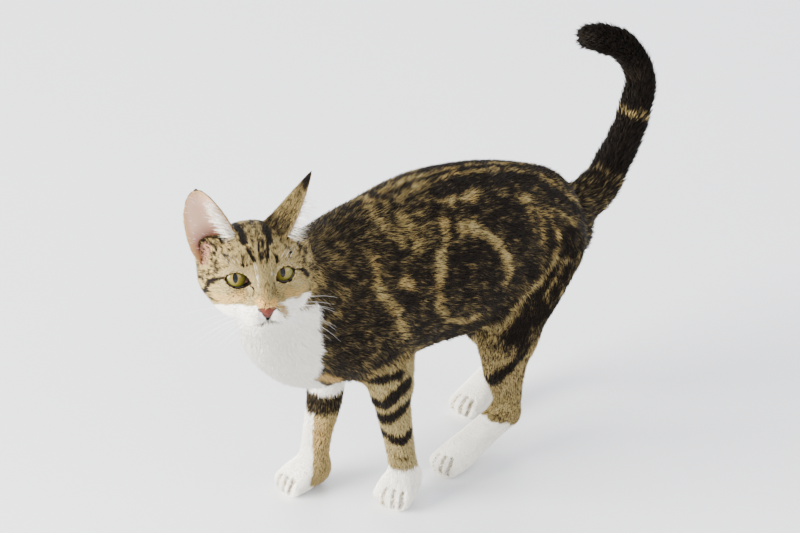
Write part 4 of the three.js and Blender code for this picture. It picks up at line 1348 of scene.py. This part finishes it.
THICK = bare_spots(SKIN_AT) / (LONG * WIDE)
near_eye = np.minimum(*[np.abs(opening(eye_local(SKIN_AT, side), side)) + 30 * (
    to_head(SKIN_AT)[:, 1] < 12) for side in (-1, 1)])
LONG = LONG * (0.45 + 0.55 * smooth(near_eye, 1.0, 7.0))
SKIN_MESH.calc_loop_triangles()
TRIANGLES = read(SKIN_MESH.loop_triangles, "vertices", np.int32, 3)
REGION = BELONGS.argmax(0)[TRIANGLES[:, 0]]
ON_LEFT = SKIN_AT[TRIANGLES[:, 0], 0] > 2
PIECES = [       # name, region, tufts, tuft, lift, spread
    ("head", "head", 48500, SHORT_TUFT, 0.26, 0.16),
    ("neck", "neck", 47500, SHORT_TUFT, 0.32, 0.2),
    ("flank_left", "trunk", 48500, SHORT_TUFT, 0.30, 0.2),
    ("flank_right", "trunk", 47500, SHORT_TUFT, 0.30, 0.2),
    ("fore", "fore", 47500, SHORT_TUFT, 0.28, 0.18),
    ("hind", "hind", 47500, SHORT_TUFT, 0.28, 0.18),
    ("tail", "tail", 18500, LONG_TUFT, 0.38, 0.16)]
COATS = {}
for seed, (name, region, *growth) in enumerate(PIECES):
    chosen = REGION == REGIONS.index(region)
    if region == "trunk":
        chosen &= ON_LEFT if name == "flank_left" else ~ON_LEFT
    ground = body_ground(name, TRIANGLES[chosen])
    COATS[name] = grow(f"coat_{name}", ground, *growth, seed * 10 + 1)

# %% [markdown]
# The ears are thin cupped leaves: pink and bare inside, furred behind. The same rule as the solids'
# draws them, with more rows. The back carries short fur up to the rim, and long pale hairs cross
# the opening from its inner edge.

# %% Ears
EARS = {
    "ear_right": dict(base=(-25, 5, 19), tip=(-34, -6, 58), lean=(-1.5, 0, 1), half=15.5,
                      across=(-1, 0, 0), drop=(0, 0, -0.6), opens=(-0.32, 0.94, 0.1), cup=12,
                      hair=(-0.9, 0.25, 0.45)),
    "ear_left": dict(base=(25, -6, 19), tip=(45, -7, 60.5), lean=(0, 2, -2), half=16,
                     across=(0.12, -1, -0.3), drop=(0, 0, 0), opens=(0.91, 0.23, -0.33), cup=18,
                     hair=(0.8, 0.35, -0.5))}
EAR = dict(thick=1.5, edge=0.5, across=28, along=36, sink=0.12)


def ear_point(ear, a, h):
    """Points of an ear's inner face: a runs from rim to rim, h from the base to the tip."""
    a, h = a[..., None], np.maximum(h, 0)[..., None]
    across = unit(np.array(ear["across"]) + np.array(ear["drop"]) * (1 - h)**2)
    half = ear["half"] * np.maximum(1 - h**2.0, 0.0)**0.56
    point = np.array(ear["base"]) * (1 - h) + np.array(ear["tip"]) * h
    point = point + np.array(ear["lean"]) * 4 * h * (1 - h) + across * a * half
    return point - unit(ear["opens"]) * ear["cup"] * (1 - a * a) * (1 - h)**0.8


def ear_sheets(ear):
    """The inner and outer faces as rows of points, and where on the ear each point is."""
    rows, columns = EAR["along"] + 1, EAR["across"] + 1
    h, a = np.meshgrid(1 - (1 - np.linspace(0, 1, rows))**1.3, np.linspace(-1, 1, columns),
                       indexing="ij")
    front = ear_point(ear, a, h * 0.995)
    sinking = np.clip(EAR["sink"] - h, 0, None)[..., None] / EAR["sink"]
    front = front - sinking * 4 * np.array([np.sign(ear["base"][0]), 0, 1.0])
    thick = EAR["thick"] + (EAR["edge"] - EAR["thick"]) * np.maximum(np.abs(a)**3, h**3)
    back = front - unit(ear["opens"]) * thick[..., None]
    return h, a, front, back


def sheet_quads(rows, columns):
    """Quads over a sheet of points that are listed row by row."""
    q = (np.arange(rows - 1)[:, None] * columns + np.arange(columns - 1)).ravel()
    return np.stack([q, q + 1, q + columns + 1, q + columns], 1)


def ear_mesh(name, ear):
    h, a, front, back = ear_sheets(ear)
    points = on_head(np.concatenate([front.reshape(-1, 3), back.reshape(-1, 3)]))
    quads = sheet_quads(*h.shape)
    both = np.stack([quads, quads[:, [0, 3, 2, 1]] + h.size], 1).reshape(-1, 4)
    at = np.arange(h.size).reshape(h.shape)
    rim = [*at[:, 0], *at[-1, 1:], *at[-2::-1, -1], *at[0, -2:0:-1]]
    edge = [(q, n, n + h.size, q + h.size) for q, n in zip(rim, rim[1:] + rim[:1])]
    mesh = closed_mesh(name, points, np.vstack([both, edge]))
    attach(mesh, "up_ear", np.tile(h.ravel(), 2))
    attach(mesh, "over_ear", np.tile(a.ravel(), 2))
    attach(mesh, "back", np.repeat([0, 1], h.size))
    return mesh


def ear_material():
    m = Material("ear_skin", 0.55, Specular_IOR_Level=0.35, Subsurface_Weight=0.15,
                 Subsurface_Scale=0.002)
    up, over, back = (m.attribute(name) for name in ("up_ear", "over_ear", "back"))
    fine = m.grain(0.0012, 3)
    flesh_pink = m.blend(m.grain(0.009, 2), rgb("b98e76"), rgb("d0ad94"))
    # Low on the inside of the ear the pink turns dark brown-red: painted shade deep in the hollow
    # of the ear.
    deep = m.blend(up.step(0.05, 0.45), rgb("7d463d"), flesh_pink)
    rim_share = over.maths("ABSOLUTE").step(0.72, 0.95).most(up.step(0.8, 0.98))
    inside = m.blend(rim_share * 0.8, deep, m.blend(fine, rgb("a67b48"), rgb("c29d68")))
    behind = m.blend(up.step(0.5, 0.9), m.blend(fine, rgb("6b5d4e"), rgb("8d7d68")), rgb("2c2520"))
    m.set("Base Color", m.blend(back, inside, behind))
    m.bump(fine, 0.0003, 0.5)
    return m


EAR_LOOK = ear_material()
ear_pieces = {name: add_object(f"{name}_shell", ear_mesh(name, ear), EAR_LOOK)
              for name, ear in EARS.items()}
tell("ears")


# %% Fur behind the ears and on their rims
def ear_ground(name, ear, inside):
    """A sheet of an ear as ground for hair; its rows run from the base to the tip."""
    h, a, front, back = ear_sheets(ear)
    sheet = front if inside else back
    opens = unit(ear["opens"]) * (1 if inside else -1)
    points = on_head(sheet.reshape(-1, 3))
    faces = sheet_quads(*h.shape)
    to_tip = unit(np.gradient(sheet, axis=0)).reshape(-1, 3) @ HEAD_AXES
    to_rim = unit(np.gradient(sheet, axis=1)).reshape(-1, 3) @ HEAD_AXES
    out = np.tile(opens @ HEAD_AXES, (h.size, 1))
    edge, height, inner_side = np.abs(a).ravel(), h.ravel(), -a.ravel()
    if inside:
        lie = np.array(ear["hair"]) @ HEAD_AXES + 0.5 * to_tip * height[:, None]
        long = 4 + 8 * smooth(inner_side, 0, 0.9) * (1 - smooth(height, 0.5, 0.85))
        thick = smooth(inner_side, 0.25, 0.95) * (1 - smooth(height, 0.6, 0.82)) + 0.03
        wide, dark, white, warm = 0.3, 0, 0.75, 0
    else:
        lie = to_tip + 0.3 * to_rim * np.sign(a.ravel())[:, None]
        long = 3.6 - 1.6 * smooth(height, 0.5, 1)
        wide, white, warm, thick = 0.42, 0, 0.3, 1
        fleck = lumps(points * [1, 1, 0.5], 2.4, 95)
        dark = 0.34 + 0.61 * smooth(height + 0.1 * edge, 0.7, 0.97) + 0.18 * fleck
        dark = dark + 0.25 * (1 - smooth(height, 0.1, 0.5))
        dark = np.clip(dark - 0.4 * smooth(edge, 0.93, 1), 0, 1)
    uv = np.stack([(a.ravel() + 1) / 2, height], 1)[faces].reshape(-1, 2)
    return ground_mesh(name, points, faces, uv, unit(lie), out, dark=dark, white=white, warm=warm,
                       thick=thick, long=long * MM, wide=wide * MM)


EAR_FUR = [     # name, on the inside, tufts, tuft, lift, spread, first seed
    ("back", False, 12000, SHORT_TUFT, 0.25, 0.15, 200),
    ("hairs", True, 340, LONG_TUFT, 0.45, 0.35, 210)]
for k, (name, ear) in enumerate(EARS.items()):
    for part, inside, *growth, seed in EAR_FUR:
        ground = ear_ground(name, ear, inside)
        COATS[f"{name}_{part}"] = grow(f"coat_{name}_{part}", ground, *growth, seed + k)

# %% [markdown]
# An eye is a ball with a clear bulge in front. A ring of muscle fibres, gold round the pupil and
# green outside it, is drawn round the gaze; the pupil is an upright slit in daylight. The rim of
# the lids is a dark tube that follows the opening.

# %% Eyes
GAZE = unit([-0.14, 0.96, 0.17])
IRIS = dict(radius=7.4, pupil=(1.6, 3.3), bulge=0.9, reach=42)      # reach in degrees


def sphere_points(rings, around):
    turn = np.linspace(0, 2 * np.pi, around, endpoint=False)
    tilt = np.linspace(0, np.pi, rings + 1)[1:-1]
    body = [(np.sin(t) * np.cos(s), np.sin(t) * np.sin(s), np.cos(t)) for t in tilt for s in turn]
    return np.array([(0, 0, 1), *body, (0, 0, -1)])


def sphere_faces(rings, around):
    faces = [(0, 1 + i, 1 + (i + 1) % around) for i in range(around)]
    for j in range(rings - 2):
        for i in range(around):
            a, b = 1 + j * around + i, 1 + j * around + (i + 1) % around
            faces.append((a, a + around, b + around, b))
    last = 1 + (rings - 1) * around
    return faces + [(last, last - around + (i + 1) % around, last - around + i)
                    for i in range(around)]


def eye_mesh(side):
    rings, around = 56, 64
    ball = sphere_points(rings, around)
    up = unit(np.array([0, 0, 1.0]) - GAZE * GAZE[2])
    out = np.cross(GAZE, up)
    tilt = np.degrees(np.arccos(np.clip(ball[:, 2], -1, 1)))
    swell = np.cos(np.radians(np.clip(tilt / IRIS["reach"], 0, 1) * 90))**2
    radius = EYE["radius"] - 0.1 + IRIS["bulge"] * swell
    local = (ball[:, :1] * out + ball[:, 1:2] * up + ball[:, 2:] * GAZE) * radius[:, None]
    mesh = make_mesh("eye", on_head(local + eye_middle(side)), sphere_faces(rings, around))
    attach(mesh, "across", ball[:, 0] * EYE["radius"])
    attach(mesh, "rise", ball[:, 1] * EYE["radius"])
    attach(mesh, "facing", ball[:, 2])
    return mesh


def eye_material():
    m = Material("eye", 0.2, Coat_Weight=1.0, Coat_Roughness=0.02, Coat_IOR=1.36,
                 Specular_IOR_Level=0.0)
    across, rise = m.attribute("across"), m.attribute("rise")
    far = (across * across + rise * rise) ** 0.5
    turn = rise.maths("ARCTAN2", across)
    spokes = m.node("ShaderNodeCombineXYZ", (turn * 5.2, far * 0.45, 0.0))
    fibre = m.node("ShaderNodeTexNoise", {"Vector": spokes, "Scale": 3.2, "Detail": 4.0})
    wide, tall = IRIS["pupil"]
    slit = ((across / wide) ** 2 + (rise / tall) ** 2) ** 0.5
    iris = m.blend(fibre.step(0.3, 0.75), rgb("413e12"), rgb("7a722a"))
    iris = m.blend(far.step(1.6, 5.6), m.blend(0.55, iris, rgb("85682b")), iris)
    iris = m.blend(far.step(5.2, IRIS["radius"]), iris, rgb("3d3d16"))
    white = m.blend(far.step(IRIS["radius"] - 0.3, IRIS["radius"] + 0.4), iris, rgb("7a5f52"))
    m.set("Base Color", m.blend(slit.step(0.93, 1.07), rgb("050505"), white))
    m.bump(fibre, 0.0001, 0.3)
    return m


EYE_LOOK = eye_material()
eye_pieces = {name: add_object(f"{name}_ball", eye_mesh(side), EYE_LOOK)
              for side, name in ((-1, "eye_right"), (1, "eye_left"))}


# %% Tubes for the lid rims and whiskers
def tube(path, radii, sides=8, closed=False):
    """Points and faces of a tube along a path of points, thin at the end if radii fall."""
    path, n = np.asarray(path, float), len(path)
    ahead = np.roll(path, -1, 0) if closed else np.vstack([path[1:], 2 * path[-1] - path[-2]])
    behind = np.roll(path, 1, 0) if closed else np.vstack([2 * path[0] - path[1], path[:-1]])
    along = unit(ahead - behind)
    hint = np.array([0.31, 0.17, 0.93])
    side = unit(np.cross(along, hint))
    top = np.cross(side, along)
    turn = np.linspace(0, 2 * np.pi, sides, endpoint=False)
    ring = np.cos(turn)[None, :, None] * side[:, None] + np.sin(turn)[None, :, None] * top[:, None]
    points = (path[:, None] + ring * np.broadcast_to(radii, n)[:, None, None]).reshape(-1, 3)
    faces = [(j % n * sides + i, j % n * sides + (i + 1) % sides,
              (j + 1) % n * sides + (i + 1) % sides, (j + 1) % n * sides + i)
             for j in range(n if closed else n - 1) for i in range(sides)]
    if not closed:
        faces += [tuple(range(sides))[::-1], tuple(range((n - 1) * sides, n * sides))]
    return points, faces


def join(parts):
    """Several (points, faces) as one."""
    points, faces, start = [], [], 0
    for p, f in parts:
        points.append(p)
        faces += [tuple(start + i for i in face) for face in f]
        start += len(p)
    return np.vstack(points), faces


def lid_path(side, swell, radius):
    """The edge of the opening, on a ball round the eye."""
    half, tall = EYE["half"] + swell, EYE["open"] + swell
    arc = (half**2 + tall**2) / (2 * tall)
    reach = np.arcsin(half / arc)
    turn = np.linspace(-reach, reach, 25)[:-1]
    upper = np.stack([arc * np.sin(turn), arc * np.cos(turn) - (arc - tall)], 1)
    flat = np.vstack([upper, -upper])
    flat[:, 1] -= 0.9 * smooth(-flat[:, 0], half - 3, half)      # the inner corner dips to the nose
    flat[:, 0] *= NARROW[side]
    return off_eye(side, *flat.T, np.sqrt(radius**2 - (flat**2).sum(1)))


def tear_corner(side):
    """The small pink bead in the inner corner of an eye."""
    rings, around = 8, 12
    bead = sphere_points(rings, around) * [1.5, 1.1, 1.0] @ HEAD_AXES
    middle = off_eye(side, 1.7 - EYE["half"] * NARROW[side], -0.7, 7.6)
    return bead + middle, sphere_faces(rings, around)


lids = [tube(lid_path(side, 0.15, EYE["radius"] + 0.3), 0.62, closed=True) for side in (-1, 1)]
lid_piece = add_object("lid_rims", closed_mesh("lid_rims", *join(lids)), mottled(
    "lid_rim", 0.35, 0.001, "1a1210", "33231c", Specular_IOR_Level=0.5))
tears = [tear_corner(side) for side in (-1, 1)]
tear_piece = add_object("tear_corners", closed_mesh("tear_corners", *join(tears)), mottled(
    "tear_corner", 0.25, 0.001, "6a3d36", "8d574c", Specular_IOR_Level=0.5))

# %% [markdown]
# The nose is bare wet leather, wide above and narrow below, with a comma of a nostril on each
# side and a groove down its middle. It has its own small rule and a fine net.

# %% Nose
NOSE_MIDDLE = -0.5


def nostril(side):
    return [(side * x + NOSE_MIDDLE, y, z)
            for x, y, z in ((1.8, 47.4, -15.8), (3.6, 47.0, -15.0), (5.6, 44.8, -14.2))]


def nose_rule(points):
    p = to_head(points)
    pad = ellipsoid(p - [NOSE_MIDDLE, 42.8, -12.4], np.array([6.9, 4.8, 2.8]))
    stem = ellipsoid(p - [NOSE_MIDDLE, 43.0, -14.8], np.array([3.6, 4.5, 3.9]))
    f = smooth_min(pad, stem, 2.4)
    for side in (-1, 1):
        f = carve(f, capsule(p, nostril(side)) - 0.75, 0.7)
    split = [(NOSE_MIDDLE, 48.3, -13.5), (NOSE_MIDDLE, 47.6, -19.5)]
    return carve(f, capsule(p, split) - 0.2, 0.6)


def nose_material():
    m = Material("nose_leather", 0.5, Specular_IOR_Level=0.2, Subsurface_Weight=0.1,
                 Subsurface_Scale=0.001)
    edge = m.attribute("edge")
    pebbles = m.node("ShaderNodeTexVoronoi", {"Vector": m.place(), "Scale": 2600.0})
    pink = m.blend(pebbles, rgb("4c2016"), rgb("632d20"))
    m.set("Base Color", m.blend(edge, pink, rgb("190f0c")))
    m.bump(pebbles, 0.0001, 0.5)
    return m


def build_nose():
    corner = on_head([0, 44, -15])
    points, quads = surface_net(nose_rule, corner - 10, corner + 10, 0.36)
    points, _ = settle(nose_rule, points)
    mesh = make_mesh("nose", points, quads)
    p = to_head(points)
    nostrils = np.minimum(*[capsule(p, nostril(side)) for side in (-1, 1)])
    across = np.abs(p[:, 0] - NOSE_MIDDLE) / np.interp(-p[:, 2], [11, 14, 17.5], [6.4, 4.8, 1.8])
    edge = np.maximum.reduce([1 - smooth(nostrils, 0.7, 1.2), smooth(-p[:, 2], 15.8, 17.4),
                              smooth(across, 0.66, 0.94), smooth(p[:, 2], -11.4, -10.6)])
    attach(mesh, "edge", edge)
    return add_object("nose_pad", mesh, nose_material())


nose_piece = build_nose()
tell("eyes, lids and nose")

# %% [markdown]
# Whiskers are stiff tapered hairs in rows on the muzzle, with a few over each eye. Each leaves
# the pad outwards, sweeps back and sags a little. Their spread comes from one seeded generator.

# %% Whiskers
def whisker_path(root, way, length, sag, steps=9):
    s = np.linspace(0, 1, steps)[:, None]
    return np.array(root) + unit(way) * length * s + np.array([0, -0.28, -sag]) * length * s**2


def build_whiskers():
    chance = np.random.default_rng(7)
    hairs = []

    def add(root, way, length, sag, thick, thin):
        path = on_head(whisker_path(root, way, length, sag))
        hairs.append(tube(path, np.linspace(thick, thin, len(path)), 5))

    for side in (-1, 1):
        for row in range(4):
            for k in range(3):
                root = (side * (9 + 2.6 * k), 43.5 - 3.2 * k, -14 - 2.3 * row)
                way = (side, -0.05 - 0.22 * k + chance.normal(0, 0.06),
                       0.1 - 0.2 * row + chance.normal(0, 0.09))
                length = (30 + 9 * k + chance.uniform(-4, 5)) * (1.0 if side > 0 else 0.8)
                add(root, way, length, 0.4, 0.11, 0.03)
        for k in range(3):
            root, way = (side * (13 + 2.5 * k), 27, 14 - k), (side * 0.5, 0.25, 1)
            add(root, way, 15 + 3 * k, 0.3, 0.045, 0.015)
    look = mottled("whisker", 0.4, 0.02, "efece6", "faf8f4", Specular_IOR_Level=0.5)
    return add_object("whiskers", closed_mesh("whiskers", *join(hairs)), look)


whisker_piece = build_whiskers()
tell("whiskers")

# %% [markdown]
# Last, every piece rides on the one body, and all the solids are hidden. A table lists the pieces
# under the names of their finishes, and the last cell gives both boxes: the solids' and the
# finished cat's.

# %% Hand over
BARE = {**ear_pieces, **eye_pieces, "nose": nose_piece}       # the pieces without a coat
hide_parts(*sorted(set(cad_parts) - set(BARE)))
for name, piece in BARE.items():
    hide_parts(name)

SLOTS = {"coat_tabby": [skin_piece, COATS["neck"]],
         "coat_agouti": [COATS["head"]],
         "coat_dark_tabby": [COATS["flank_left"], COATS["flank_right"], COATS["tail"]],
         "coat_tan": [COATS["fore"], COATS["hind"]],
         "ear_inner": list(ear_pieces.values()),
         "coat_white": [COATS[n] for n in COATS if n.endswith("_hairs")] + [whisker_piece],
         "coat_black": [COATS[n] for n in COATS if n.endswith("_back")] + [lid_piece, tear_piece],
         "iris": list(eye_pieces.values()),
         "nose_leather": [nose_piece]}
for slot, pieces in SLOTS.items():
    for piece in pieces:
        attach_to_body(piece, "root")

boxes = {"solids": SOLID_BOX, "visual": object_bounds()}
{name: [list(corner) for corner in box] for name, box in boxes.items()}
tell("done")
